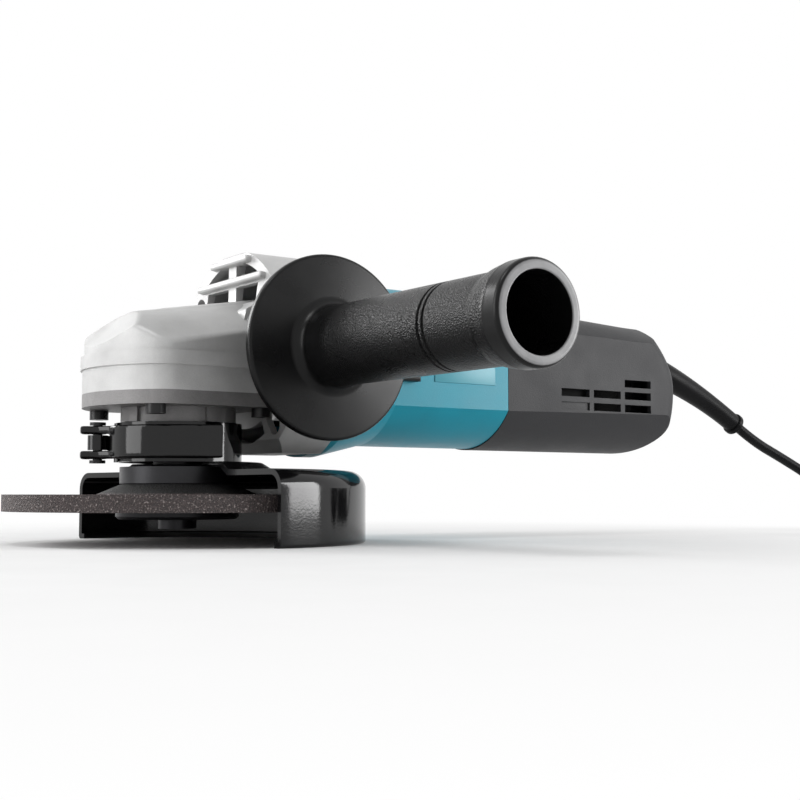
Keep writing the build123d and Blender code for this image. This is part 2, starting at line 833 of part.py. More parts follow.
def pinion():
    s, c = math.sin(cone_pinion), math.cos(cone_pinion)
    depth = (gear_addendum + root_room) * module
    ends = [
        (share * (cone_length * c + depth * s), share * (cone_length * s - depth * c))
        for share in (face_share, 1.0)
    ]
    bore = shaft_pinion_r + press_gap
    blank = turned_x([
        (ends[0][0], bore), ends[0], ends[1], (ends[1][0] + pinion_hub_t / 2, pinion_hub_r),
        (pinion_rear_x(), pinion_hub_r), (pinion_rear_x(), bore),
    ])
    points = tooth_outline(
        pinion_teeth, cone_pinion, pinion_addendum, gear_addendum + root_room, pinion_tooth_share
    )
    tooth = bevel_tooth(points, Vector(c, 0, -s), Vector(-s, 0, -c), Vector(0, 1, 0))
    keep = turned_x([(0, bore), (pinion_rear_x(), bore), (pinion_rear_x(), gear_r), (0, gear_r)])
    half_pitch = 180 / pinion_teeth
    teeth = []
    for i in range(pinion_teeth):
        turn = half_pitch + i * 360 / pinion_teeth
        teeth.append(tooth.rotate(motor_axis, turn))
    return (blank + teeth) & keep


def pinion_rear_x():
    depth = (gear_addendum + root_room) * module
    return cone_length * math.cos(cone_pinion) + depth * math.sin(cone_pinion) + pinion_hub_t


def pinion_front_x():
    s, c = math.sin(cone_pinion), math.cos(cone_pinion)
    return face_share * (cone_length * c - pinion_addendum * module * s)


def pinion_nut():
    plane = Plane((pinion_front_x() - pinion_nut_t, 0, motor_z), x_dir=(0, 1, 0), z_dir=(1, 0, 0))
    hexagon = extrude(plane * RegularPolygon(pinion_nut_r, 6), pinion_nut_t)
    return hexagon - rod_back(shaft_pinion_r / 2 + press_gap, 0, pinion_front_x())


# Spindle lock

def lock_pin_low():
    return gear_root(face_share, 0)[1] + lock_rest_gap


def lock_boss_low():
    return lock_pin_low() + lock_travel + slide_gap


def lock_button_top():
    return roof_z - lock_r * math.tan(math.radians(roof_slope)) - lock_sink


def lock_shelf_z():
    return lock_button_top() - lock_button_t - lock_travel - 2 * lock_spring_wire_r * lock_spring_turns


def top_bush():
    top = bush_top_z() - slide_gap
    bore = spindle_top_r + run_gap
    return turned_z([
        (bore, top - bush_t + slide_gap), (bush_r - press_gap, top - bush_t + slide_gap),
        (bush_r - press_gap, top), (bore, top),
    ])


def lock_button():
    low = lock_button_top() - lock_button_t
    cap = rod_up(lock_button_r, low, lock_button_top(), -lock_r)
    cap = fillet(cap.edges().group_by(Axis.Z)[-1], lock_button_t / 4)
    return cap - rod_up(lock_pin_r + press_gap, low, low + lock_button_t / 2, -lock_r)


def lock_pin():
    return rod_up(lock_pin_r, lock_pin_low(), lock_button_top() - lock_button_t / 2, -lock_r)


def half_turns(points, lead_in, lead_out):
    """One unbroken path through points on alternate sides of a winding, two tangent arcs to each half turn.

    Every point is (place, heading), with the heading level and the next one opposite to it.
    """
    edges = []
    if lead_in:
        place, heading = points[0]
        edges.append(Edge.make_line(place - heading * lead_in, place))
    for (p0, t0), (p1, t1) in zip(points, points[1:]):
        reach = (p1 - p0).length / 2
        joint = ((p0 + t0 * reach) + (p1 - t1 * reach)) / 2
        edges.append(Edge.make_tangent_arc(p0, t0, joint))
        edges.append(Edge.make_tangent_arc(joint, (p1 - p0).normalized(), p1))
    if lead_out:
        place, heading = points[-1]
        edges.append(Edge.make_line(place, place + heading * lead_out))
    return Wire(edges)


def tube(path, radius):
    """Round tube along a path."""
    section = Plane(path @ 0, z_dir=path % 0) * Circle(radius)
    return sweep(section, path)


def lock_spring():
    ring = lock_pin_r + slide_gap + lock_spring_wire_r + (lock_button_r - lock_pin_r) / 4
    low = lock_shelf_z() + press_gap + lock_spring_wire_r
    high = lock_button_top() - lock_button_t - slide_gap - lock_spring_wire_r
    count = 2 * lock_spring_turns
    points = []
    for i in range(count + 1):
        side = 1 if i % 2 == 0 else -1
        place = Vector(-lock_r + side * ring, 0, low + (high - low) * i / count)
        points.append((place, Vector(0, side, 0)))
    return tube(half_turns(points, 0, 0), lock_spring_wire_r)


# Side handle

def handle_turned(points, radii=None):
    """Solid turned about the handle's axis from (distance from the tool's middle plane, radius) points."""
    plane = Plane((handle_x, 0, motor_z), x_dir=(0, -1, 0), z_dir=(-1, 0, 0))
    return revolve(plane * outline(points, radii), handle_axis)


def side_handle():
    base = handle_boss_y + seam_gap
    bore = handle_thread_r + press_gap
    stud_end = handle_boss_y - handle_thread_depth + handle_stud_length
    web = handle_end_y - handle_hole_depth
    ring = handle_ring_w / 2
    rows = [
        (base, bore, 0), (base, handle_root_r, 1.0), (handle_flange_y - handle_flange_t - handle_back_t, handle_root_r, 3.0),
        (handle_flange_y - handle_flange_t, handle_flange_r, 1.2), (handle_flange_y, handle_flange_r, 1.2),
        (handle_flange_y + handle_dish, handle_grip_r, handle_root_round),
    ]
    for middle in (handle_ring_y - handle_ring_gap / 2, handle_ring_y + handle_ring_gap / 2):
        rows += [
            (middle - ring, handle_grip_r, 0), (middle - ring / 2, handle_waist_r, 0),
            (middle + ring / 2, handle_waist_r, 0), (middle + ring, handle_grip_r, 0),
        ]
    rows += [
        (handle_lip_y - 12, handle_grip_r, 12.0), (handle_lip_y, handle_lip_r, 3.0),
        (handle_end_y, handle_lip_r, 1.8), (handle_end_y, handle_hole_r, 0.6), (web, handle_hole_r, 2.0),
        (web, 0, 0), (stud_end, 0, 0), (stud_end, bore, 0),
    ]
    return handle_turned([(y, r) for y, r, _ in rows], [corner for _, _, corner in rows])


def handle_stud():
    inner = handle_boss_y - handle_thread_depth
    y0 = -(inner + handle_stud_length)
    return rod_side(handle_thread_r - press_gap, y0, -inner - press_gap, handle_x, motor_z)


# Guard and its clamp

def guard_shell():
    inside_r = guard_r - guard_sheet
    under = guard_top_z - guard_sheet
    rows = [
        (guard_bore_r, guard_hub_z, 0), (guard_hub_r, guard_hub_z, 2.0), (guard_step_r, guard_top_z, 2.0),
        (guard_r, guard_top_z, guard_shoulder_round), (guard_r, guard_floor_z, 1.2),
        (guard_r - guard_lip, guard_floor_z, 0), (guard_r - guard_lip, guard_floor_z + guard_sheet, 0),
        (inside_r, guard_floor_z + guard_sheet, 0.5), (inside_r, under, guard_shoulder_round - guard_sheet),
        (guard_step_r - guard_sheet / 2, under, 0), (guard_hub_r - guard_sheet / 2, guard_hub_z - guard_sheet, 0),
        (guard_bore_r, guard_hub_z - guard_sheet, 0),
    ]
    return turned_z(
        [(r, z) for r, z, _ in rows], [corner for _, _, corner in rows],
        guard_near_edge, guard_far_edge - guard_near_edge,
    )


def polar(radius, angle):
    return radius * math.cos(math.radians(angle)), radius * math.sin(math.radians(angle))


def guard_collar():
    band = turned_z([
        (band_r, guard_hub_z), (band_out_r, guard_hub_z), (band_out_r, band_top_z), (band_r, band_top_z),
    ])
    gap = Rot(0, 0, band_gap_angle) * block(
        0, 2 * band_out_r, -band_gap / 2, band_gap / 2, guard_hub_z, band_top_z
    )
    half = lever_notch / 2 - slide_gap
    middle = (lever_z + lever_top_z) / 2
    tab = outline([
        polar(band_out_r - band_sheet / 2, lever_pin_angle - 4), (lever_pin_x, lever_pin_y),
        polar(lever_pin_ring + lever_knuckle_r / 2, lever_pin_angle - 6),
        polar(band_out_r - band_sheet / 2, lever_pin_angle - 16),
    ])
    eye = Pos(lever_pin_x, lever_pin_y) * Circle(lever_knuckle_r)
    hinge = extrude(Pos(0, 0, middle - half) * (tab + eye), 2 * half)
    hole = rod_up(lever_pin_r + press_gap, guard_hub_z, band_top_z, lever_pin_x, lever_pin_y)
    return band - gap + (hinge - rod_up(band_r, 0, 2 * band_top_z)) - hole


def clamp_lever():
    inner = band_out_r + lever_room
    outer = inner + lever_sheet
    arc = lever_turn_end - lever_turn_start
    strap = turned_z(
        [(inner, lever_z), (outer, lever_z), (outer, lever_top_z), (inner, lever_top_z)],
        start=lever_turn_start, arc=arc,
    )
    height = lever_top_z - lever_z
    end_angle = lever_turn_end - 0.5
    tab = outline([
        polar(inner, end_angle), polar(outer, end_angle), polar(outer + lever_tab_rise, lever_tab_end),
        polar(inner + lever_tab_rise, lever_tab_end),
    ])
    start_angle = lever_turn_start + 0.5
    neck = outline([
        polar(inner, start_angle), (lever_pin_x, lever_pin_y),
        polar(lever_pin_ring + lever_knuckle_r, lever_pin_angle + 1), polar(outer, start_angle),
    ])
    eye = Pos(lever_pin_x, lever_pin_y) * Circle(lever_knuckle_r)
    nose = outline([
        polar(lever_pin_ring, lever_pin_angle - 5), polar(lever_pin_ring + lever_nose_reach, lever_pin_angle - 4),
        polar(lever_pin_ring + lever_nose_reach, lever_pin_angle + 4), polar(lever_pin_ring, lever_pin_angle + 6),
    ])
    plate = extrude(Pos(0, 0, lever_z) * (tab + neck + eye + nose), height)
    middle = (lever_z + lever_top_z) / 2
    notch_r = lever_nose_reach + slide_gap + 1
    notch = rod_up(
        notch_r, middle - lever_notch / 2, middle + lever_notch / 2, lever_pin_x, lever_pin_y
    )
    hole = rod_up(lever_pin_r + run_gap, lever_z, lever_top_z, lever_pin_x, lever_pin_y)
    clear = rod_up(inner, 0, 2 * lever_top_z)
    return strap + (plate - clear) - notch - hole


def lever_pin():
    x, y = lever_pin_x, lever_pin_y
    shank = rod_up(lever_pin_r, lever_z - slide_gap, lever_top_z + slide_gap, x, y)
    top = lever_top_z + slide_gap
    low = lever_z - slide_gap
    heads = [
        rod_up(lever_pin_head_r, top, top + lever_pin_head_t, x, y),
        rod_up(lever_pin_head_r, low - lever_pin_head_t, low, x, y),
    ]
    return shank + heads


# Motor

def armature_shaft():
    thread = shaft_pinion_r / 2
    nut_x = pinion_front_x() - pinion_nut_t
    hub_x = pinion_rear_x()
    return turned_x([
        (nut_x, 0), (nut_x, thread), (pinion_front_x(), thread), (pinion_front_x(), shaft_pinion_r),
        (hub_x, shaft_pinion_r), (hub_x, shaft_r), (rear_bearing_x - slide_gap, shaft_r),
        (rear_bearing_x - slide_gap, shaft_rear_r), (shaft_end_x, shaft_rear_r), (shaft_end_x, 0),
    ])


def front_bearing():
    half = ball_bearing_profile(shaft_r + run_gap, front_bearing_r - press_gap, front_bearing_t)
    return turned_x([(front_bearing_x + w, r) for w, r in half])


def rear_bearing():
    half = ball_bearing_profile(shaft_rear_r + run_gap, rear_bearing_r - press_gap, rear_bearing_t)
    return turned_x([(rear_bearing_x + w, r) for w, r in half])


def armature_core():
    core = rod_back(core_r, core_x, core_x + core_length) - rod_back(shaft_r + press_gap, 0, tail_end_x)
    slot = block(
        core_x, core_x + core_length, -core_slot_w / 2, core_slot_w / 2,
        motor_z + core_r - core_slot_depth, motor_z + 2 * core_r,
    )
    return core - [slot.rotate(motor_axis, i * 360 / core_slots) for i in range(core_slots)]


def armature_windings():
    rings = []
    for x in (core_x - winding_length, core_x + core_length):
        rows = [(x, shaft_r + press_gap), (x, winding_r), (x + winding_length, winding_r),
                (x + winding_length, shaft_r + press_gap)]
        rings.append(turned_x(rows, [0, winding_length / 3, winding_length / 3, 0]))
    return rings


def commutator():
    end = commutator_x + commutator_length
    body = turned_x([
        (commutator_x, shaft_r + press_gap), (commutator_x, commutator_r + riser_h),
        (commutator_x + riser_t, commutator_r + riser_h), (commutator_x + riser_t, commutator_r), (end, commutator_r),
        (end, shaft_r + press_gap),
    ])
    cut = block(
        commutator_x, end, -commutator_cut_w / 2, commutator_cut_w / 2,
        motor_z + commutator_r - commutator_cut_depth, motor_z + 2 * commutator_r,
    )
    return body - [cut.rotate(motor_axis, i * 360 / commutator_bars) for i in range(commutator_bars)]


def cooling_fan():
    disc_x = fan_x + fan_t - fan_disc_t
    body = rod_back(fan_r, disc_x, fan_x + fan_t) + rod_back(fan_hub_r, fan_x, fan_x + fan_t)
    blade = block(
        fan_x, disc_x, -fan_blade_t / 2, fan_blade_t / 2, motor_z + fan_hub_r - fan_blade_t, motor_z + fan_r
    )
    blades = [blade.rotate(motor_axis, i * 360 / fan_blades) for i in range(fan_blades)]
    return body + blades - rod_back(shaft_r + press_gap, 0, tail_end_x)


def coil_slots(grow):
    """Lengthways pockets of the stator that hold the sides of the field coils."""
    x0, x1 = core_x - coil_overhang, core_x + core_length + coil_overhang
    slots = []
    for pole in (0, 180):
        for side in (-1, 1):
            middle = pole + side * coil_half_angle
            slots.append(sector_x(coil_in_r - grow, coil_out_r + grow, x0, x1, middle, coil_side_angle + grow))
    return slots


def stator_core():
    core = rod_back(stator_r, core_x, core_x + core_length) - rod_back(core_r + air_gap, 0, tail_end_x)
    keep = block(core_x, core_x + core_length, -stator_flat, stator_flat, 0, 2 * motor_z)
    return core & keep - coil_slots(coil_room)


def field_coils():
    sides = coil_slots(0)
    coils = []
    span = coil_half_angle + coil_side_angle
    for pole in (0, 1):
        coil = sides[2 * pole] + sides[2 * pole + 1]
        for x in (core_x - coil_overhang, core_x + core_length + coil_room):
            end = sector_x(coil_in_r, coil_out_r, x, x + coil_overhang - coil_room, 180 * pole, span)
            coil = coil + end
        coils.append(coil)
    return coils


def baffle_ring():
    rim = baffle_r - baffle_rim
    ring = turned_x([
        (baffle_x, baffle_bore_r), (baffle_x, baffle_r), (core_x - press_gap, baffle_r),
        (core_x - press_gap, rim), (baffle_x + baffle_t, rim), (baffle_x + baffle_t, baffle_bore_r),
    ])
    return ring & block(baffle_x, core_x, -stator_flat, stator_flat, 0, 2 * motor_z)


def brush_back():
    """Half width of the hollow in the housing's neck, where the brush holders end."""
    x = brush_x + brush_w / 2 + brush_box_wall + press_gap
    return tail_side_y(x) - tail_wall - slide_gap - motor_spigot_wall - press_gap


def brush_blocks(grow, start, stop):
    """Blocks on both sides of the commutator, grown round the brush section."""
    blocks = []
    for side in (-1, 1):
        y0, y1 = sorted((side * start, side * stop))
        x0, x1 = brush_x - brush_w / 2 - grow, brush_x + brush_w / 2 + grow
        blocks.append(block(x0, x1, y0, y1, motor_z - brush_h / 2 - grow, motor_z + brush_h / 2 + grow))
    return blocks


def carbon_brushes():
    start = commutator_r + brush_gap
    return brush_blocks(0, start, start + brush_length)


def brush_springs():
    start = commutator_r + brush_gap + brush_length
    stop = brush_back() - brush_box_wall
    return brush_blocks(-brush_spring_t, start, stop)


def brush_holders():
    start = commutator_r + 1
    stop = brush_back()
    shells = brush_blocks(brush_box_wall + press_gap, start, stop)
    holes = brush_blocks(press_gap, 0, stop - brush_box_wall)
    return [shell - hole for shell, hole in zip(shells, holes)]


# Motor housing and tail cover

def motor_body(inset):
    """The motor housing filled in: flared front, taper and straight barrel."""
    def section(x, half, height, flat):
        return barrel(x, half - inset, height - inset, height - inset, flat - inset / 2)

    front = (motor_front_half, motor_front_height, motor_front_flat)
    rear = (motor_half, motor_height, motor_flat)
    flare_x = shroud_rear_x + motor_front_t
    body = extrude(section(shroud_rear_x, *front), motor_front_t)
    body = body + loft([section(flare_x, *front), section(motor_taper_x, *rear)], ruled=True)
    return body + extrude(section(motor_taper_x, *rear), motor_rear_x - motor_taper_x)


def spigot_section(x, inset):
    """Section of the neck that enters the tail cover, at the same taper as the cover's hollow."""
    share = (x - motor_rear_x) / (tail_end_x - motor_rear_x)
    half = motor_half + (tail_half_end - motor_half) * share - inset
    top = tail_top + (tail_top_end - tail_top) * share - inset
    return barrel(x, half, top, tail_bottom - inset, motor_flat - inset / 2 - 2 * share)


def motor_housing():
    spigot_end = motor_rear_x + motor_spigot_length
    fit = tail_wall + slide_gap
    root_x = motor_rear_x - motor_wall
    spigot = loft([spigot_section(root_x, fit), spigot_section(spigot_end, fit)], ruled=True)
    bore = fit + motor_spigot_wall
    hollow = loft([spigot_section(root_x - 1, bore), spigot_section(spigot_end, bore)], ruled=True)
    inside = motor_body(motor_wall) - block(
        root_x, tail_end_x, -2 * shroud_r, 2 * shroud_r, 0, 3 * motor_z
    )
    body = motor_body(0) + spigot - inside - hollow
    frame = spider() & (spigot + motor_body(0))
    body = body + frame
    for y, z in housing_screw_places():
        post = rod_back(motor_post_r, shroud_rear_x, shroud_rear_x + motor_post_length, y, z)
        body = body + (post & motor_body(0))
    body = body + (knob_pocket(motor_wall) & motor_body(0))
    cuts = [
        rod_back(housing_screw_r + press_gap, shroud_rear_x, screw_end_x(), y, z)
        for y, z in housing_screw_places()
    ]
    cuts.append(rod_back(rear_bearing_r, rear_bearing_x - 1, rear_bearing_x + rear_bearing_t))
    cuts.append(rod_back(shaft_r + 1, 0, rear_bearing_x + rear_bearing_t + 1))
    cuts.append(knob_pocket(0))
    cuts.append(stem_slot())
    cuts.append(rod_channel())
    cuts.append(rod_side(tail_screw_r + press_gap, tail_screw_low(), 2 * motor_half, tail_screw_x, motor_z))
    return body - cuts


def spider():
    """Rear bearing seat with four arms, and the stator's two saddles."""
    half = spider_arm_w / 2
    rear = shaft_end_x + spider_back_t
    seat = rod_back(rear_bearing_r + spider_wall, rear_bearing_x - 1, rear)
    arm = block(rear_bearing_x - 1, rear, -half, half, motor_z + rear_bearing_r + 1, motor_z + shroud_r)
    arms = [arm.rotate(motor_axis, way * spider_angle) for way in (-1, 1)]
    arms += [arm.rotate(motor_axis, 180 + way * spider_angle) for way in (-1, 1)]
    saddles = []
    for side in (-1, 1):
        z0, z1 = sorted((motor_z + side * (stator_r + press_gap), motor_z + side * shroud_r))
        saddles.append(block(core_x, core_x + core_length, -saddle_half, saddle_half, z0, z1))
    return seat + arms + saddles


def screw_end_x():
    return housing_head_x + housing_head_t + housing_screw_length


def knob_pocket(grow):
    """Recess in the housing's flare for the knob, grown on all sides but the open one."""
    room = pocket_room + grow
    return block(
        knob_x - switch_travel - room, knob_x + knob_length + room, -2 * motor_half, -motor_half + grow,
        knob_z - knob_h / 2 - room, knob_z + knob_h / 2 + room,
    )


def stem_slot():
    """Slot in the housing wall that the switch stem slides along."""
    x0 = knob_x + (knob_length - stem_length) / 2 - switch_travel - slide_gap
    x1 = knob_x + (knob_length + stem_length) / 2 + slide_gap
    low = stem_z - stem_h / 2 - slide_gap
    return block(x0, x1, -2 * motor_half, rod_y, low, stem_z + stem_h / 2 + slide_gap)


def rod_channel():
    """Channel for the switch rod through the neck at the rear of the motor housing."""
    x0 = motor_rear_x - motor_wall - 2
    low = rod_z - rod_h / 2 - slide_gap
    return block(
        x0, tail_end_x, -motor_half + motor_wall + slide_gap, rod_y + rod_t + slide_gap,
        low, rod_z + rod_h / 2 + slide_gap,
    )


def tail_screw_low():
    return motor_half + tail_wall - tail_screw_length - tail_wall


def housing_screws():
    screws = []
    for y, z in housing_screw_places():
        head = rod_back(housing_head_r, housing_head_x, housing_head_x + housing_head_t, y, z)
        shank = rod_back(housing_screw_r, housing_head_x + housing_head_t / 2, screw_end_x(), y, z)
        slot = block(
            housing_head_x, housing_head_x + housing_head_t / 3, y - 2 * housing_head_r, y + 2 * housing_head_r,
            z - housing_head_t / 6, z + housing_head_t / 6,
        )
        screws.append(head + shank - slot)
    return screws


def tail_solid(inset):
    """The tail cover filled in: tapering barrel with its rear corners rounded in side view and in plan."""
    front_x = motor_rear_x + seam_gap - (inset and 1)
    end_x = tail_end_x - inset
    body = loft([spigot_section(front_x, inset), spigot_section(end_x, inset)], ruled=True)
    reach = 2 * shroud_r
    side_r = tail_side_round - inset
    top = motor_z + tail_top_end - inset
    low = motor_z - tail_bottom + inset
    side = outline(
        [(0, low), (end_x, low), (end_x, top), (0, top + (tail_top - tail_top_end) * 2.1)],
        [0, side_r, side_r, 0],
    )
    side = extrude(Plane((0, reach, 0), x_dir=(1, 0, 0), z_dir=(0, -1, 0)) * side, 2 * reach)
    half = tail_half_end - inset
    plan_r = tail_plan_round - inset
    flare = (motor_half - tail_half_end) * 2.1
    plan = outline(
        [(0, -half - flare), (end_x, -half), (end_x, half), (0, half + flare)], [0, plan_r, plan_r, 0]
    )
    return body & side & extrude(plan, 3 * motor_z)


def tail_vents():
    slots = []
    for z, columns in tail_vent_rows:
        for column in columns:
            x = tail_vent_x + column * (tail_vent_length + tail_vent_rib)
            slots.append(block(
                x, x + tail_vent_length, -2 * motor_half, 2 * motor_half, z - tail_vent_h / 2, z + tail_vent_h / 2
            ))
    end = tail_vent_x + tail_vent_length
    for side in (-1, 1):
        y0, y1 = sorted((side * (tail_side_y(end) - tail_groove_depth), side * 2 * motor_half))
        z0, z1 = tail_groove_z - tail_vent_h / 2, tail_groove_z + tail_vent_h / 2
        slots.append(block(tail_vent_x, end, y0, y1, z0, z1))
    return slots


def tail_ribs():
    """Ribs on the cover's floor that carry the switch, and the post under the cord clamp."""
    floor_z = motor_z - tail_bottom
    ribs = [
        block(x, x + rib_t, switch_y - switch_w / 2, switch_y + switch_w / 2, floor_z, switch_z)
        for x in (switch_x + rib_t, switch_x + switch_length - 2 * rib_t)
    ]
    ribs += [
        block(x, x + rib_t, -capacitor_w / 2, capacitor_w / 2, floor_z, capacitor_z)
        for x in (capacitor_x + rib_t, capacitor_x + capacitor_length - 2 * rib_t)
    ]
    ribs.append(block(clamp_x, clamp_x + clamp_length, -clamp_w / 2, clamp_w / 2, floor_z, boot_z))
    return ribs


def clamp_screw_places():
    return [(clamp_x + clamp_length / 2, side * clamp_screw_pitch / 2) for side in (-1, 1)]


def tail_cover():
    outside = tail_solid(0)
    body = outside - tail_solid(tail_wall)
    body = body + [(rib & outside) for rib in tail_ribs()]
    cuts = tail_vents()
    cuts.append(rod_back(boot_root_r + press_gap, tail_end_x - 4 * tail_wall, tail_end_x + 1, 0, boot_z))
    cuts.append(rod_back(cord_r + press_gap, clamp_x - 1, clamp_x + clamp_length + 1, 0, boot_z))
    for x, y in clamp_screw_places():
        cuts.append(rod_up(clamp_screw_r + press_gap, clamp_screw_low(), boot_z, x, y))
    cuts.append(rod_side(tail_screw_r + slide_gap, 0, 2 * motor_half, tail_screw_x, motor_z) )
    cuts.append(rod_side(tail_head_r + slide_gap, tail_head_y() - tail_head_t, 2 * motor_half, tail_screw_x, motor_z))
    return body - cuts


def tail_side_y(x):
    """Half width of the tail cover's straight side at one X."""
    share = (x - motor_rear_x) / (tail_end_x - motor_rear_x)
    return motor_half + (tail_half_end - motor_half) * share


def tail_head_y():
    return tail_side_y(tail_screw_x) - slide_gap


def tail_screw():
    top = tail_head_y()
    head = rod_side(tail_head_r, top - tail_head_t, top, tail_screw_x, motor_z)
    shank = rod_side(tail_screw_r, tail_screw_low() + 1, top - tail_head_t / 2, tail_screw_x, motor_z)
    slot = block(
        tail_screw_x - 2 * tail_head_r, tail_screw_x + 2 * tail_head_r, top - tail_head_t / 2, top,
        motor_z - tail_head_t / 4, motor_z + tail_head_t / 4,
    )
    return head + shank - slot


# Switch

def switch_knob():
    x0, x1 = knob_x, knob_x + knob_length
    side = motor_half + slide_gap
    plate = block(x0, x1, -side - knob_t, -side, knob_z - knob_h / 2, knob_z + knob_h / 2)
    face_edges = plate.edges().filter_by_position(Axis.Y, -side - knob_t - 0.01, -side - knob_t + 0.01)
    plate = fillet(face_edges, knob_t / 3)
    pitch = knob_length / (knob_ribs + 1)
    grooves = [
        block(x0 + i * pitch, x0 + i * pitch + pitch / 3, -side - knob_t, -side - knob_t * 0.75,
              knob_z - knob_h / 3, knob_z + knob_h / 3)
        for i in range(1, knob_ribs + 1)
    ]
    stem_x = knob_x + (knob_length - stem_length) / 2
    stem = block(
        stem_x, stem_x + stem_length, -side - knob_t / 2, rod_y, stem_z - stem_h / 2, stem_z + stem_h / 2
    )
    return plate - grooves + stem


def switch_rod():
    x0 = knob_x + (knob_length - stem_length) / 2
    end = switch_x - 2 * slide_gap
    bar = block(x0, end, rod_y, rod_y + rod_t, rod_z - rod_h / 2, rod_z + rod_h / 2)
    hook = block(
        end - 2 * rod_t, end, rod_y, switch_y, rod_z - rod_h / 2, rod_z + rod_h / 2
    )
    return bar + hook


def switch_block():
    body = block(
        switch_x, switch_x + switch_length, switch_y - switch_w / 2, switch_y + switch_w / 2,
        switch_z, switch_z + switch_h,
    )
    return fillet(body.edges().filter_by(Axis.Z), rib_t / 2)


def capacitor():
    body = block(
        capacitor_x, capacitor_x + capacitor_length, -capacitor_w / 2, capacitor_w / 2,
        capacitor_z, capacitor_z + capacitor_h,
    )
    return fillet(body.edges().filter_by(Axis.Z), rib_t)


# Cord entry and cord

def clamp_screw_low():
    return boot_z + clamp_t - clamp_screw_length


def cord_clamp():
    z0 = boot_z + press_gap
    strap = block(clamp_x, clamp_x + clamp_length, -clamp_w / 2, clamp_w / 2, z0, z0 + cord_r + clamp_t)
    strap = strap - block(
        clamp_x, clamp_x + clamp_length, cord_r + clamp_t, clamp_w, z0 + clamp_t, z0 + 2 * cord_r + clamp_t
    )
    strap = strap - block(
        clamp_x, clamp_x + clamp_length, -clamp_w, -cord_r - clamp_t, z0 + clamp_t, z0 + 2 * cord_r + clamp_t
    )
    holes = [rod_up(clamp_screw_r + press_gap, z0, 2 * z0, x, y) for x, y in clamp_screw_places()]
    return strap - rod_back(cord_r + press_gap, clamp_x, clamp_x + clamp_length, 0, boot_z) - holes


def cord_clamp_screws():
    screws = []
    seat = boot_z + press_gap + clamp_t
    for x, y in clamp_screw_places():
        shank = rod_up(clamp_screw_r, clamp_screw_low() + 1, seat + clamp_head_t / 2, x, y)
        screws.append(shank + rod_up(clamp_head_r, seat, seat + clamp_head_t, x, y))
    return screws


def boot_root_x():
    return tail_end_x - boot_root_depth


def inner_lead():
    return rod_back(cord_r, switch_x + switch_length + press_gap, boot_root_x() - press_gap, 0, boot_z)


def boot_frame(distance):
    """Place and heading on the boot's drooping centre line, at a distance from the tail cover."""
    turn = math.radians(boot_slope_end - boot_slope_start)
    radius = boot_length / turn
    slope = math.radians(boot_slope_start) + distance / radius
    start = math.radians(boot_slope_start)
    x = tail_end_x + radius * (math.sin(slope) - math.sin(start))
    z = boot_z - radius * (math.cos(start) - math.cos(slope))
    return Vector(x, 0, z), Vector(math.cos(slope), 0, -math.sin(slope))


def cord_boot():
    sections = []
    stations = [(0.0, boot_root_r), (0.25, boot_root_r * 0.9), (0.6, boot_root_r * 0.78), (1.0, boot_tip_r)]
    taper = boot_length - boot_bead_t
    for share, radius in stations:
        place, heading = boot_frame(share * taper)
        sections.append(Plane(place, x_dir=(0, 1, 0), z_dir=heading) * Circle(radius))
    sleeve = loft(sections)
    place, heading = boot_frame(taper)
    end, _ = boot_frame(boot_length)
    bead_plane = Plane(place, x_dir=(0, 1, 0), z_dir=heading)
    bead = bead_plane * Cylinder(boot_bead_r, (end - place).length, align=LOW)
    bead = fillet(bead.edges().filter_by(GeomType.CIRCLE), boot_bead_t / 4)
    plug_part = rod_back(boot_root_r, boot_root_x(), tail_end_x + 1.5, 0, boot_z)
    collar_x = boot_root_x()
    collar = rod_back(boot_collar_r, collar_x, collar_x + boot_collar_t, 0, boot_z)
    return sleeve + bead + plug_part + collar


def cord_start():
    """Place and heading where the cord leaves the bead of the boot."""
    place, heading = boot_frame(boot_length - boot_bead_t)
    end, _ = boot_frame(boot_length)
    return place + heading * (end - place).length, heading


def coil_points():
    """Places and headings of the coil's half turns, from the floor up, in and out again layer by layer."""
    step = coil_pitch / 2
    low_r = coil_mid_r - step * coil_steps / 2
    high_r = coil_mid_r + step * coil_steps / 2
    rings = [(high_r + step - step * i, 0) for i in range(coil_steps + 2)]
    for layer in range(1, coil_layers):
        start, way = (low_r, 1) if layer % 2 == 1 else (high_r, -1)
        rings.append((start - way * step, layer))
        rings += [(start + way * step * i, layer) for i in range(1, coil_steps + 1)]
    points = []
    for i, (ring, layer) in enumerate(rings):
        side = 1 if i % 2 == 0 else -1
        place = Vector(coil_x + side * ring, coil_y, cord_floor_z + layer * coil_pitch)
        points.append((place, Vector(0, -side, 0)))
    return points


def run_radii(points):
    """Largest arc at each corner of a route that leaves some of both runs straight."""
    radii = []
    for a, b, c in zip(points, points[1:], points[2:]):
        turn = math.radians((b - a).get_angle(c - b))
        radii.append(0.45 * min((b - a).length, (c - b).length) / math.tan(turn / 2))
    return radii


def route_tube(name, points):
    """Tube along straight runs with tangent arcs. Prints its radii, and its volume beside section times length."""
    radii = run_radii(points)
    path = FilletPolyline(*points, radius=radii).wire()
    solid = tube(path, cord_r)
    expected = math.pi * cord_r ** 2 * path.length
    print(name, "radii", [round(r) for r in radii], "length", round(path.length, 1))
    print(name, "volume", round(solid.volume, 1), "section times length", round(expected, 1))
    return solid


def cord_route():
    start, heading = cord_start()
    coil_place, coil_heading = coil_points()[0]
    end = coil_place - coil_heading * 2 * cord_r
    floor = cord_floor_z
    return [
        start, start + heading * 15, Vector(344, 0, 31.6), Vector(365, -1, 22.6), Vector(385, -4, 11.6),
        Vector(404, -13, 3.2), Vector(416, -29, floor + 0.4), end + Vector(0, 15, 0), end,
    ]


def cord():
    return route_tube("cord", cord_route())


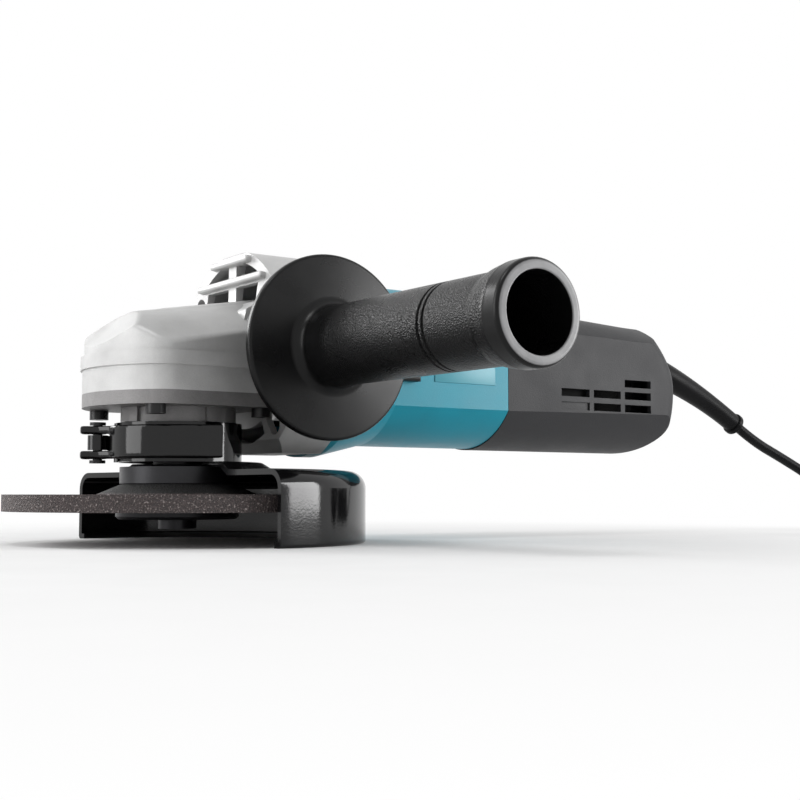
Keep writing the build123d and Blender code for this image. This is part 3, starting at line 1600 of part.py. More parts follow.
def cord_coil():
    points = coil_points()
    path = half_turns(points, 2 * cord_r, 2 * cord_r)
    print("coil length", round(path.length, 1), "half turns", len(points) - 1)
    print("coil least gap", round(coil_gap(path), 2))
    return tube(path, cord_r)


def coil_gap(path):
    """Least room between the coil and itself, on points a quarter of a diameter apart."""
    count = int(path.length / (cord_r / 2))
    spots = [path @ (i / count) for i in range(count + 1)]
    skip = int(8 * cord_r / (cord_r / 2))
    least = min(
        (spots[i] - spots[j]).length
        for i in range(0, count + 1, 2) for j in range(i + skip, count + 1)
    )
    return least - 2 * cord_r


def tail_route():
    place, heading = coil_points()[-1]
    start = place + heading * 2 * cord_r
    plug_z = guard_floor_z + plug_r
    x, y, _ = start
    return [
        start, start + heading * 16, Vector(x - 10, y - 35, start.Z - 0.6), Vector(x - 29, y - 44.5, plug_z + 0.8),
        Vector(x - 48, y - 46.5, plug_z), Vector(x - 62, y - 46.5, plug_z),
    ]


def cord_end():
    return route_tube("cord end", tail_route())


def cord_tie():
    """Strap round the coil's turns on the side away from the cord's entry."""
    step = coil_pitch / 2
    reach = step * (coil_steps / 2 + 1) + cord_r + slide_gap
    low = guard_floor_z + tie_t
    high = cord_floor_z + coil_pitch * (coil_layers - 1) + cord_r + slide_gap
    outer = outline(
        [(-reach - tie_t, guard_floor_z), (reach + tie_t, guard_floor_z), (reach + tie_t, high + tie_t),
         (-reach - tie_t, high + tie_t)], [2 * tie_t] * 4
    )
    inner = outline([(-reach, low), (reach, low), (reach, high), (-reach, high)], [tie_t] * 4)
    plane = Plane((coil_x, coil_y + tie_w / 2, 0), x_dir=(1, 0, 0), z_dir=(0, -1, 0))
    band = extrude(plane * (outer - inner), tie_w)
    return Pos(-coil_mid_r, 0, 0) * band


def plug_frame():
    end = tail_route()[-1]
    return end.X, end.Y, end.Z


def plug_body():
    x, y, z = plug_frame()
    taper = plug_length - plug_face_t
    plane = Plane((x, y, z), x_dir=(-1, 0, 0), z_dir=(0, 1, 0))
    rows = [
        (0, 0, 0), (0, plug_neck_r, 1.0), (taper * 0.45, plug_neck_r + 1, 6.0), (taper, plug_r, 5.0),
        (plug_length, plug_r, 1.5), (plug_length, 0, 0),
    ]
    half = plane * outline([(a, b) for a, b, _ in rows], [c for _, _, c in rows])
    return revolve(half, Axis((x, y, z), (-1, 0, 0))) - plug_pin_holes()


def plug_pin_places():
    _, y, z = plug_frame()
    return [(y + side * plug_pin_pitch / 2, z) for side in (-1, 1)]


def plug_pin_holes():
    x = plug_frame()[0] - plug_length
    return [rod_back(plug_pin_r + press_gap, x, x + plug_face_t / 2, y, z) for y, z in plug_pin_places()]


def plug_pins():
    x = plug_frame()[0] - plug_length
    pins = []
    for y, z in plug_pin_places():
        pin = rod_back(plug_pin_r, x - plug_pin_length, x + plug_face_t / 2, y, z)
        pins.append(fillet(pin.edges().group_by(Axis.X)[0], plug_pin_r / 2))
    return pins


NODES = {
    "gear_housing": gear_housing,
    "bearing_box": bearing_box,
    "bearing_box_screws": bearing_box_screws,
    "spindle": spindle,
    "spindle_bearing": spindle_bearing,
    "bearing_retainer": bearing_retainer,
    "dust_ring": dust_ring,
    "top_bush": top_bush,
    "bevel_gear": bevel_gear,
    "gear_circlip": gear_circlip,
    "pinion": pinion,
    "pinion_nut": pinion_nut,
    "lock_button": lock_button,
    "lock_pin": lock_pin,
    "lock_spring": lock_spring,
    "inner_flange": inner_flange,
    "grinding_wheel": grinding_wheel,
    "lock_nut": lock_nut,
    "guard_shell": guard_shell,
    "guard_collar": guard_collar,
    "clamp_lever": clamp_lever,
    "lever_pin": lever_pin,
    "side_handle": side_handle,
    "handle_stud": handle_stud,
    "housing_screws": housing_screws,
    "armature_shaft": armature_shaft,
    "front_bearing": front_bearing,
    "rear_bearing": rear_bearing,
    "armature_core": armature_core,
    "armature_windings": armature_windings,
    "commutator": commutator,
    "cooling_fan": cooling_fan,
    "stator_core": stator_core,
    "field_coils": field_coils,
    "baffle_ring": baffle_ring,
    "brush_holders": brush_holders,
    "carbon_brushes": carbon_brushes,
    "brush_springs": brush_springs,
    "motor_housing": motor_housing,
    "tail_cover": tail_cover,
    "tail_screw": tail_screw,
    "switch_knob": switch_knob,
    "switch_rod": switch_rod,
    "switch_block": switch_block,
    "capacitor": capacitor,
    "cord_clamp": cord_clamp,
    "cord_clamp_screws": cord_clamp_screws,
    "inner_lead": inner_lead,
    "cord_boot": cord_boot,
    "cord": cord,
    "cord_coil": cord_coil,
    "cord_tie": cord_tie,
    "cord_end": cord_end,
    "plug_body": plug_body,
    "plug_pins": plug_pins,
}

os.makedirs("parts", exist_ok=True)
to_origin = Pos(0, 0, -nut_face_z)
for name, make in NODES.items():
    shape = make()
    if isinstance(shape, (list, ShapeList)):
        shape = Compound(children=[to_origin * solid for piece in shape for solid in piece.solids()])
    else:
        shape = to_origin * shape
    box = shape.bounding_box()
    print(name, len(shape.solids()), "solid", [round(v, 1) for v in (*box.min, *box.max)])
    export_step(shape, f"parts/{name}.step")
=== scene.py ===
# %% [markdown]
# # Angle grinder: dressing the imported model
# An angle grinder is made of castings, mouldings, turned steel and one flexible cord. Its solids
# are packed already, so this lesson loads them and gives each piece its finish, on the body that
# carries it. All of it could be modelled again in Blender, but then two models would drift apart.
# The box of the solids is kept straight after loading, because the dressed model may not outgrow
# it.

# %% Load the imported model
import bmesh
import bpy
import json
import math
from mathutils import Matrix, Vector


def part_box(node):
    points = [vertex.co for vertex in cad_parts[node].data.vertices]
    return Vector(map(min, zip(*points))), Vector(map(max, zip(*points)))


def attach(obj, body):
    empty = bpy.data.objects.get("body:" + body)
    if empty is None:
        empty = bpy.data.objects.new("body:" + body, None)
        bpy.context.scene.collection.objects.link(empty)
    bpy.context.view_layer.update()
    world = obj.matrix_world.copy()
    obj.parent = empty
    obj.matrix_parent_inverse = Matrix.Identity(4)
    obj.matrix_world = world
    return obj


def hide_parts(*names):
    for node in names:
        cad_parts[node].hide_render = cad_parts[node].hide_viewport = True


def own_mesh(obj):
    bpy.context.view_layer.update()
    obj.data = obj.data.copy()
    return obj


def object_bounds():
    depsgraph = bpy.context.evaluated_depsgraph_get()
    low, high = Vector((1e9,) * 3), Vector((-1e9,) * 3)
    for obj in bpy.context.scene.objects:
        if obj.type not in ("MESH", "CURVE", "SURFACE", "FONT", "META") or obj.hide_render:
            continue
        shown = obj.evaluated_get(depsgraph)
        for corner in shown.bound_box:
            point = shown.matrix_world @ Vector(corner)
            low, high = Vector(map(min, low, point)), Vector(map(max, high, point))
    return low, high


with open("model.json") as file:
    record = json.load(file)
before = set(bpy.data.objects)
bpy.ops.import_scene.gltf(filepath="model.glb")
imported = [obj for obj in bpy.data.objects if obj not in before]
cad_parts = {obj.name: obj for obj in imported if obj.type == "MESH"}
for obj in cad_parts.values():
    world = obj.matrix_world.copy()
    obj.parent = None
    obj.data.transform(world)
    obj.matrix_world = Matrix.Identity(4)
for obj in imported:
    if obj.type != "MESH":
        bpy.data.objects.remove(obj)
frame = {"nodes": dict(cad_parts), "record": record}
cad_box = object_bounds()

scene = bpy.context.scene
scene.view_settings.view_transform = "Standard"
MM = 0.001

# %% [markdown]
# ## Camera
# The camera stands low in front of the wheel and looks past the side handle. It could be set by
# eye, but a small error in the lens bends every other measure, so lens and place were fitted to the
# wheel's edge, the handle's two rims and the straight edges of the housing.

# %% Camera
camera_data = bpy.data.cameras.new("camera")
camera_data.lens = 59.6
camera_data.sensor_width = 36.0
camera_data.clip_start = 0.01
camera = bpy.data.objects.new("camera", camera_data)
scene.collection.objects.link(camera)
camera.location = (-0.217, -0.448, 0.009)
camera.rotation_euler = (math.radians(94.08), 0, math.radians(-35.35))
scene.camera = camera
print("camera at", tuple(round(v, 3) for v in camera.location))

# %% [markdown]
# ## A shader and its nodes
# Every finish is one shader with a few nodes in front of it. Nodes can be added one by one with
# their sockets set line by line, which hides the idea in repetition. This small class adds a node,
# sets its plain values and links the rest in one call. It also holds the coordinates that all
# patterns read: those of the object, in metres, so the grain has a real size and stays with the
# piece when it moves.

# %% A shader and its nodes

class NodeTree:
    """A new material with one shader and the object's coordinates."""

    def __init__(self, name, metallic=0.0, specular=0.5):
        self.material = bpy.data.materials.new(name)
        self.material.use_nodes = True
        self.tree = self.material.node_tree
        self.tree.nodes.clear()
        self.output = self.node("OutputMaterial")
        self.shader = self.node("BsdfPrincipled", {"Metallic": metallic, "Specular IOR Level": specular})
        self.link(self.shader.outputs["BSDF"], self.output.inputs["Surface"])
        self.place = self.node("TexCoord").outputs["Object"]

    def link(self, a, b):
        self.tree.links.new(a, b)

    def node(self, kind, values=None, **settings):
        """New node. A value that is another node's output is linked, any other stays on the socket."""
        node = self.tree.nodes.new("ShaderNode" + kind)
        for name, setting in settings.items():
            setattr(node, name, setting)
        for socket, value in (values or {}).items():
            if isinstance(value, bpy.types.NodeSocket):
                self.link(value, node.inputs[socket])
            else:
                node.inputs[socket].default_value = value
        return node


print("shader class ready")

# %% [markdown]
# ## Patterns
# Real surfaces vary a little in colour, gloss and height. A painted picture could show that, but it
# would need a flattened map of each piece. Noise and cells in object coordinates need none, so
# these are the patterns used here, with ramps that turn a pattern into colours and ranges that turn
# it into gloss.

# %% Patterns

class Finish(NodeTree):
    """A material with short names for its patterns."""

    def stretched(self, scale):
        """Object coordinates scaled apart along the three axes."""
        return self.node("Mapping", {"Vector": self.place, "Scale": scale}).outputs["Vector"]

    def noise(self, scale, detail=3.0, roughness=0.55, place=None):
        values = {"Vector": place or self.place, "Scale": scale, "Detail": detail, "Roughness": roughness}
        return self.node("TexNoise", values).outputs["Fac"]

    def cells(self, scale):
        return self.node("TexVoronoi", {"Vector": self.place, "Scale": scale}).outputs["Distance"]

    def along(self, axis):
        """One object coordinate, in metres."""
        return self.node("SeparateXYZ", {"Vector": self.place}).outputs[axis]

    def ramp(self, value, stops):
        node = self.node("ValToRGB", {"Fac": value})
        while len(node.color_ramp.elements) < len(stops):
            node.color_ramp.elements.new(0.5)
        for element, (at, colour) in zip(node.color_ramp.elements, stops):
            element.position = at
            element.color = (*colour, 1.0)
        return node.outputs["Color"]

    def spread(self, value, low, high, start=0.25, stop=0.75):
        """Maps a value between start and stop to a value between low and high."""
        values = {"Value": value, "From Min": start, "From Max": stop, "To Min": low, "To Max": high}
        return self.node("MapRange", values).outputs["Result"]

    def add(self, a, b, weight=1.0):
        return self.node("Math", {0: b, 1: weight, 2: a}, operation="MULTIPLY_ADD").outputs[0]

    def product(self, a, b):
        return self.node("Math", {0: a, 1: b}, operation="MULTIPLY").outputs[0]

    def mixed(self, share, a, b):
        """Colour a where share is 0 and colour b where it is 1."""
        return self.node("Mix", {"Factor": share, "A": a, "B": b}, data_type="RGBA").outputs["Result"]

    def colour(self, colour):
        self.link(colour, self.shader.inputs["Base Color"])

    def gloss(self, value, low, high):
        self.link(self.spread(value, low, high), self.shader.inputs["Roughness"])

    def bump(self, height, depth, strength=1.0):
        node = self.node("Bump", {"Height": height, "Distance": depth, "Strength": strength})
        self.link(node.outputs["Normal"], self.shader.inputs["Normal"])


print("pattern class ready")

# %% [markdown]
# ## Cast, painted and moulded finishes
# The housing is sandblasted alloy, the guard is gloss paint on steel, the shells are moulded
# plastic. They differ in colour, gloss and grain, not in kind: each has a fine grain and slow
# clouds in its tone. One function makes them all, which keeps them alike under any light.

# %% Cast, painted and moulded finishes

def shade(colour, factor):
    return tuple(c * factor for c in colour)


def grained(name, colour, gloss, grain, depth, vary=0.12, metallic=0.0, specular=0.5):
    """Fine grain in the bump, slow clouds in colour and gloss."""
    n = Finish(name, metallic, specular)
    cloud = n.noise(60, 4)
    fine = n.noise(grain, 2)
    tones = [(0.4, shade(colour, 1 - vary)), (0.85, shade(colour, 1 + vary))]
    n.colour(n.ramp(n.add(cloud, fine, 0.25), tones))
    n.gloss(cloud, *gloss)
    n.bump(fine, depth)
    return n.material


print("grain ready")

# %% [markdown]
# ## Turned steel and wound copper
# A lathe leaves fine rings, and a winding shows its wires side by side. Both are lines in one
# direction. They could be cut as geometry, but at a tenth of a millimetre that costs more triangles
# than the whole tool. Noise that is stretched along one axis gives the same lines in colour, gloss
# and bump.

# %% Turned steel and wound copper

def turned(name, colour, gloss, stretch, metallic=1.0):
    """Machined metal with fine lines across the most stretched axis."""
    n = Finish(name, metallic)
    lines = n.noise(1.0, 3, 0.6, n.stretched(stretch))
    cloud = n.noise(90, 3)
    n.colour(n.ramp(n.add(cloud, lines, 0.4), [(0.4, shade(colour, 0.8)), (1.0, shade(colour, 1.15))]))
    n.gloss(lines, *gloss)
    n.bump(lines, 0.00003, 0.6)
    return n.material


def wound(name, colour):
    """Enamelled copper wire: close lines along the motor."""
    n = Finish(name, metallic=0.9)
    wires = n.noise(1.0, 2, 0.5, n.stretched((300, 1800, 1800)))
    n.colour(n.ramp(wires, [(0.35, shade(colour, 0.5)), (0.7, shade(colour, 1.1))]))
    n.gloss(wires, 0.25, 0.45)
    n.bump(wires, 0.0002)
    return n.material


print("metal lines ready")

# %% [markdown]
# ## Grinding wheel
# The wheel is grit in a dark resin, with pale grains, and its raised middle carries a plain black
# paper. The paper could be a piece of its own, thinner than a sheet of card. Here the height above
# the rim decides between the two colours, so no such thin piece is needed.

# %% Grinding wheel
WHEEL_THICKNESS = 6.0 * MM
PAPER_FROM, PAPER_FULL = 0.2 * MM, 0.6 * MM  # height over the rim's upper face
wheel_low, wheel_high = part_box("grinding_wheel")
rim_top = wheel_low.z + WHEEL_THICKNESS


def abrasive():
    n = Finish("abrasive")
    grit = n.cells(1700)
    patch = n.noise(1500, 2, 0.7)
    bond = n.ramp(n.spread(n.add(patch, grit, 0.6), 0.0, 1.0, 0.4, 1.2), [
        (0.0, (0.01, 0.008, 0.0075)), (0.45, (0.036, 0.026, 0.026)), (0.72, (0.07, 0.052, 0.05)),
        (0.9, (0.32, 0.28, 0.27)),
    ])
    paper = n.ramp(patch, [(0.3, (0.004, 0.004, 0.004)), (0.8, (0.009, 0.009, 0.009))])
    raised = n.spread(n.along("Z"), 0.0, 1.0, rim_top + PAPER_FROM, rim_top + PAPER_FULL)
    n.colour(n.mixed(raised, bond, paper))
    n.gloss(patch, 0.5, 0.85)
    n.bump(n.add(patch, grit, 0.8), 0.0005)
    return n.material


print("wheel", tuple(round(v / MM, 1) for v in wheel_high - wheel_low), "mm")

# %% [markdown]
# ## Side handle
# The handle is black plastic: a smooth flange, a pebbled grip and a pale rim round the open end,
# which is a painted highlight for the shine on the rim's edge. Three materials on three groups of
# faces would need cuts in the mesh. The place along the handle tells the zones apart just as well,
# so one material fades from one to the next.

# %% Side handle
HANDLE_END_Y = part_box("side_handle")[0].y
# the pale band at the open end is a painted highlight on the rim's edge
HIGHLIGHT_RIM_Y = (HANDLE_END_Y + 0.1 * MM, HANDLE_END_Y + 0.3 * MM)  # the pale rim turns black here
PEBBLES_START_Y = (HANDLE_END_Y + 6 * MM, HANDLE_END_Y + 9 * MM)  # the pebbles fade in here, from the end
PEBBLES_STOP_Y = (-72.0 * MM, -66.0 * MM)  # and out here, towards the flange
PEBBLE_DEPTH = 0.2 * MM


def handle_plastic():
    n = Finish("handle_shell", specular=0.2)
    y = n.along("Y")
    cloud = n.noise(70, 3)
    black = n.ramp(cloud, [(0.3, (0.003, 0.003, 0.0032)), (0.8, (0.006, 0.006, 0.0063))])
    # painted highlight: the pale grey at the open end stands in for the shine on the rim's edge
    rim_highlight = n.ramp(n.noise(120, 2), [(0.3, (0.22, 0.22, 0.225)), (0.7, (0.3, 0.3, 0.305))])
    rim = n.spread(y, 1.0, 0.0, *HIGHLIGHT_RIM_Y)
    n.colour(n.mixed(rim, black, rim_highlight))
    n.gloss(cloud, 0.24, 0.34)
    pebbles = n.add(n.cells(1900), n.noise(2600, 2), 0.5)
    before_flange = n.spread(y, 1.0, 0.0, *PEBBLES_STOP_Y)
    past_end = n.spread(y, 0.0, 1.0, *PEBBLES_START_Y)
    n.bump(n.product(pebbles, n.product(before_flange, past_end)), PEBBLE_DEPTH)
    return n.material


print("handle ends at", round(HANDLE_END_Y / MM, 1), "mm")

# %% [markdown]
# ## All finishes
# One finish for each surface that can be told apart. Colours are written as they are under white
# light, the blacks at one per cent or less, because the shine on top of them adds its own light.

# %% All finishes
LOOK = {
    "cast_alloy": grained("cast_alloy", (0.5, 0.5, 0.497), (0.36, 0.46), 2600, 0.00008, 0.14, metallic=0.25),
    "dark_alloy": grained("dark_alloy", (0.2, 0.195, 0.195), (0.4, 0.5), 2000, 0.00012, 0.25, metallic=0.3),
    "black_paint": grained(
        "black_paint", (0.003, 0.003, 0.0033), (0.06, 0.11), 1200, 0.00001, 0.15, specular=0.35,
    ),
    "black_steel": grained("black_steel", (0.01, 0.01, 0.0105), (0.22, 0.36), 2200, 0.00004, specular=0.3),
    "bright_steel": turned("bright_steel", (0.45, 0.45, 0.45), (0.2, 0.38), (300, 300, 2500)),
    "dark_steel": turned("dark_steel", (0.03, 0.03, 0.033), (0.28, 0.42), (300, 300, 2500), 0.6),
    "core_steel": turned("core_steel", (0.25, 0.25, 0.26), (0.3, 0.5), (2800, 200, 200)),
    "abrasive": abrasive(),
    "bronze": turned("bronze", (0.5, 0.34, 0.14), (0.25, 0.42), (300, 300, 2500)),
    "copper": wound("copper", (0.62, 0.25, 0.1)),
    "teal_shell": grained("teal_shell", (0.004, 0.235, 0.32), (0.3, 0.4), 2400, 0.00004, 0.06, specular=0.22),
    "grey_shell": grained(
        "grey_shell", (0.034, 0.034, 0.036), (0.42, 0.55), 1900, 0.00009, 0.08, specular=0.15,
    ),
    "handle_shell": handle_plastic(),
    "black_plastic": grained("black_plastic", (0.01, 0.01, 0.01), (0.35, 0.5), 2000, 0.00006, specular=0.25),
    "dull_plastic": grained("dull_plastic", (0.006, 0.006, 0.006), (0.7, 0.85), 1800, 0.00006, specular=0.05),
    "carbon": grained("carbon", (0.02, 0.02, 0.02), (0.5, 0.7), 2500, 0.00006),
    "plate_film": grained("plate_film", (0.07, 0.3, 0.37), (0.25, 0.35), 1500, 0.00002, 0.05, specular=0.3),
    "film_case": grained("film_case", (0.5, 0.42, 0.16), (0.2, 0.32), 1500, 0.00002),
    "cord_rubber": grained("cord_rubber", (0.008, 0.008, 0.0085), (0.32, 0.45), 1800, 0.00005, specular=0.06),
}
print("finishes", len(LOOK))

# %% [markdown]
# ## White floor
# The tool stands in a white studio without a horizon. A strong lamp on a large floor would do it,
# and burn out the pale alloy too. Instead the floor keeps its own colour and the soft shadow near
# the object, and fades to plain white further out, but only for rays that see it directly or as a
# reflection. The light that it throws on the object stays natural.

# %% White floor
FLOOR_HALF = 6.0
FADE_FROM, FADE_TO = 0.1, 0.42  # distance from the origin, in metres


def seen_directly(tree):
    """1 for camera, reflected and refracted rays, 0 for the light that falls on the object."""
    path = tree.nodes.new("ShaderNodeLightPath")
    seen = path.outputs["Is Camera Ray"]
    for kind in ("Is Glossy Ray", "Is Transmission Ray"):
        most = tree.nodes.new("ShaderNodeMath")
        most.operation = "MAXIMUM"
        tree.links.new(seen, most.inputs[0])
        tree.links.new(path.outputs[kind], most.inputs[1])
        seen = most.outputs[0]
    return seen


def floor_paper():
    n = Finish("floor_paper", specular=0.1)
    n.colour(n.ramp(n.noise(40), [(0.3, (0.86, 0.86, 0.86)), (0.7, (0.89, 0.89, 0.89))]))
    n.gloss(n.noise(25), 0.75, 0.85)
    reach = n.node("VectorMath", {0: n.place}, operation="LENGTH").outputs["Value"]
    share = n.product(n.spread(reach, 0.0, 1.0, FADE_FROM, FADE_TO), seen_directly(n.tree))
    white = n.node("Emission").outputs["Emission"]
    mix = n.node("MixShader", {0: share, 1: n.shader.outputs["BSDF"], 2: white})
    n.link(mix.outputs["Shader"], n.output.inputs["Surface"])
    return n.material


bm = bmesh.new()
bmesh.ops.create_grid(bm, x_segments=4, y_segments=4, size=FLOOR_HALF)
bmesh.ops.translate(bm, verts=bm.verts, vec=(0, 0, cad_box[0][2]))
floor_mesh = bpy.data.meshes.new("floor")
bm.to_mesh(floor_mesh)
bm.free()
floor = bpy.data.objects.new("floor", floor_mesh)
scene.collection.objects.link(floor)
floor_mesh.materials.append(floor_paper())
print("floor at", round(cad_box[0][2] / MM, 1), "mm")

# %% [markdown]
# ## Light from around
# In a white room, light comes from every side. A plain white world gives that, but at full strength
# it would flatten the shapes. So the world is white to the eye and to reflections, and only about a
# third as strong for the light that falls on the object.

# %% Light from around
WORLD_LIGHT, WORLD_SEEN = 0.35, 1.0
world = bpy.data.worlds.new("studio")
scene.world = world
world.use_nodes = True
sky = world.node_tree.nodes["Background"]
sky.inputs["Color"].default_value = (1, 1, 1, 1)
level = world.node_tree.nodes.new("ShaderNodeMapRange")
level.inputs["To Min"].default_value = WORLD_LIGHT
level.inputs["To Max"].default_value = WORLD_SEEN
world.node_tree.links.new(seen_directly(world.node_tree), level.inputs["Value"])
world.node_tree.links.new(level.outputs["Result"], sky.inputs["Strength"])
print("world", WORLD_LIGHT, "for light and", WORLD_SEEN, "for the eye")

# %% [markdown]
# ## Soft lamps
# Four soft boxes shape the tool: one from the left on the castings, one from behind that draws the
# shine along the grip, a small one from above, and one from the right on the shells and the guard.
# Point lamps would be simpler and give hard shadows and pinhead highlights, where a studio shows
# broad ones.

# %% Soft lamps

def softbox(name, place, target, width, height, power):
    lamp = bpy.data.lights.new(name, "AREA")
    lamp.shape = "RECTANGLE"
    lamp.size = width
    lamp.size_y = height
    lamp.energy = power
    box = bpy.data.objects.new(name, lamp)
    scene.collection.objects.link(box)
    box.location = place
    box.rotation_euler = (Vector(target) - Vector(place)).to_track_quat("-Z", "Y").to_euler()


softbox("left_box", (-0.85, 0.15, 0.36), (0.03, -0.02, 0.06), 0.5, 0.7, 4.5)
softbox("rear_box", (-0.36, 0.85, 0.47), (0.03, -0.1, 0.06), 0.3, 0.5, 5)
softbox("top_box", (-0.33, -0.12, 0.92), (0.03, -0.06, 0.06), 0.25, 0.25, 1.6)
softbox("right_box", (0.78, -0.62, 0.2), (0.1, -0.05, 0.04), 0.42, 0.48, 7.5)
print("lamps", len(bpy.data.lights))

# %% [markdown]
# ## Coil of the cord
# The length of cord that the picture does not show is put away in a coil, as for storage. A helix
# would be a quick coil, but a real one is wound in flat layers, in and out again. Each half turn
# here has its own radius, half a pitch from the last, so the turns lie beside and on each other a
# little more than a diameter apart.

# %% Coil of the cord
CORD_R = 2.5
COIL_X, COIL_Y, COIL_Z = 384.0, -66.0, -1.5
COIL_MID, COIL_PITCH, COIL_STEPS, COIL_LAYERS = 30.0, 5.5, 5, 4
HALF_TURN_POINTS = 8


def coil_rings():
    """Radius and layer at each half turn of the coil."""
    step = COIL_PITCH / 2
    low_r = COIL_MID - step * COIL_STEPS / 2
    high_r = COIL_MID + step * COIL_STEPS / 2
    rings = [(high_r + step - step * i, 0) for i in range(COIL_STEPS + 2)]
    for layer in range(1, COIL_LAYERS):
        start, way = (low_r, 1) if layer % 2 == 1 else (high_r, -1)
        rings.append((start - way * step, layer))
        rings += [(start + way * step * i, layer) for i in range(1, COIL_STEPS + 1)]
    return rings


def coil_line():
    """Control points of the half turns, set out a little, as the spline cuts the corners between them."""
    rings = coil_rings()
    cut = 0.75 + 0.25 * math.cos(math.pi / HALF_TURN_POINTS)
    points = []
    for i, ((r0, a), (r1, b)) in enumerate(zip(rings, rings[1:])):
        side = 1 if i % 2 == 0 else -1
        middle = COIL_X + side * (r0 - r1) / 2
        radius = (r0 + r1) / 2 / cut
        for k in range(HALF_TURN_POINTS):
            share = (k + 0.5) / HALF_TURN_POINTS
            turn = math.pi * share
            x = middle + side * radius * math.cos(turn)
            y = COIL_Y - side * radius * math.sin(turn)
            z = COIL_Z + COIL_PITCH * (a + (b - a) * share)
            points.append((x, y, z))
    return points


print("coil half turns", len(coil_rings()) - 1)

# %% [markdown]
# ## Cord
# The cord leaves the boot, falls to the floor under its own weight, runs into the coil and out to
# the plug. A chain of rigid bars could be simulated, but the places it touches are known, so one
# smooth spline through them does it. Its round section follows the whole length.

# %% Cord
NUT_FACE = 3.5  # heights in this lesson count from the spindle's tip, this far below the part's origin


def route(points):
    """Millimetres, with heights from the spindle's tip, to metres in the part's frame."""
    return [(x * MM, y * MM, (z - NUT_FACE) * MM) for x, y, z in points]


def spline_object(name, points, radius):
    """Smooth curve of one open spline with a round section."""
    curve = bpy.data.curves.new(name, "CURVE")
    curve.dimensions = "3D"
    curve.bevel_depth = radius * MM
    curve.bevel_resolution = 6
    curve.use_fill_caps = True
    spline = curve.splines.new("NURBS")
    spline.points.add(len(points) - 1)
    for point, place in zip(spline.points, points):
        point.co = (*place, 1.0)
    spline.order_u = 3
    spline.use_endpoint_u = True
    spline.resolution_u = 6
    made = bpy.data.objects.new(name, curve)
    scene.collection.objects.link(made)
    return made


lead_out = [(309.0, 0, 47.3), (322.0, 0, 39.8), (344, 0, 31.6), (365, -1, 22.6), (385, -4, 11.6),
            (404, -13, 3.2), (416, -29, -1.1), (423.6, -46, -1.5), (423.6, -61, -1.5)]
to_plug = [(420.75, -71, 15), (420.75, -87, 15), (410.75, -106, 14.4), (391.75, -115.5, 13),
           (372.75, -117.5, 12.2), (358.75, -117.5, 12.2)]
cord = spline_object("mains_cord", route(lead_out + coil_line() + to_plug), CORD_R)
cord.data.materials.append(LOOK["cord_rubber"])
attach(cord, "body")
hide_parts("cord", "cord_coil", "cord_end")
print("cord points", len(cord.data.splines[0].points))

# %% [markdown]
# ## Moving a surface by a rule
# Three pieces of the real tool differ in form from their solids. Sculpting or a lattice could
# change them, but neither says by how much. A rule that gives every point its new place does, in
# millimetres. The normals turn with the surface, by the slope of the rule. The tail's long faces
# are cut at several heights first, so that they can follow a curve.

# %% Moving a surface by a rule
SLOPE_STEP = 2e-5
STILL = 1e-8  # a shorter move counts as none


def bend(bm, exact, move):
    """Moves every vertex by a rule and turns the corners' normals with the surface."""
    axes = (Vector((SLOPE_STEP, 0, 0)), Vector((0, SLOPE_STEP, 0)), Vector((0, 0, SLOPE_STEP)))
    for face in bm.faces:
        for corner in face.loops:
            place = corner.vert.co
            if (move(place) - place).length < STILL:
                continue
            columns = [(move(place + axis) - move(place - axis)) / (2 * SLOPE_STEP) for axis in axes]
            slope = Matrix(columns).transposed()
            corner[exact] = (slope.inverted_safe().transposed() @ corner[exact]).normalized()
    for vert, place in [(vert, move(vert.co)) for vert in bm.verts]:
        vert.co = place


def cut_levels(bm, levels, beyond):
    """Cuts the faces past an x at several heights, so that they can follow a curve."""
    for level in levels:
        near = [face for face in bm.faces if max(vert.co.x for vert in face.verts) > beyond]
        edges = {edge for face in near for edge in face.edges}
        verts = {vert for face in near for vert in face.verts}
        bmesh.ops.bisect_plane(
            bm, geom=near + list(edges) + list(verts), dist=1e-7, plane_co=(0, 0, level), plane_no=(0, 0, 1),
        )
    bmesh.ops.triangulate(bm, faces=bm.faces)


print("slopes measured over", round(2 * SLOPE_STEP / MM, 3), "mm")

# %% [markdown]
# ## Copies of the solids
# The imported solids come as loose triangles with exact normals. Merging their corners and averaging
# the normals is the usual way to a smooth look, but on long, thin triangles the average draws
# spikes. So each merged copy takes over the normals that the CAD program worked out from the true
# surfaces.

# %% Copies of the solids
MERGE = 2e-6


def new_piece(name, mesh, body, look, *nodes, finish=None):
    piece = bpy.data.objects.new(name, mesh)
    scene.collection.objects.link(piece)
    mesh.materials.clear()
    mesh.materials.append(LOOK[finish or look])
    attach(piece, body)
    if nodes:
        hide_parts(*nodes)
    return piece


def dressed(node, body, look, move=None, levels=(), beyond=0.0, finish=None):
    """Merged copy of a CAD node. Every corner keeps the exact normal of the solid's surface."""
    source = frame["nodes"][node].data
    bm = bmesh.new()
    bm.from_mesh(source)
    exact = bm.loops.layers.float_vector.new("exact")
    corners = [corner for face in bm.faces for corner in face.loops]
    for corner, normal in zip(corners, source.corner_normals):
        corner[exact] = normal.vector
    bmesh.ops.remove_doubles(bm, verts=bm.verts, dist=MERGE)
    if levels:
        cut_levels(bm, levels, beyond)
    if move:
        bend(bm, exact, move)
    normals = [tuple(corner[exact]) for face in bm.faces for corner in face.loops]
    mesh = bpy.data.meshes.new(node + "_skin")
    bm.to_mesh(mesh)
    bm.free()
    mesh.attributes.remove(mesh.attributes["exact"])
    mesh.shade_smooth()
    mesh.normals_split_custom_set(normals)
    return new_piece(node + "_skin", mesh, body, look, node, finish=finish)


print("copies keep the exact normals of", len(frame["nodes"]), "nodes")

# %% [markdown]
# ## Clamp lever
# The lever that tightens the guard is pressed steel under thick gloss paint, so it has no sharp
# edge left. A bevel is the usual tool, but it stops at the small faces round the lever's bends.
# Remeshing the copy in small cubes and smoothing it a few times rounds every edge alike.

# %% Clamp lever
LEVER_VOXEL, LEVER_PASSES = 0.45 * MM, 9


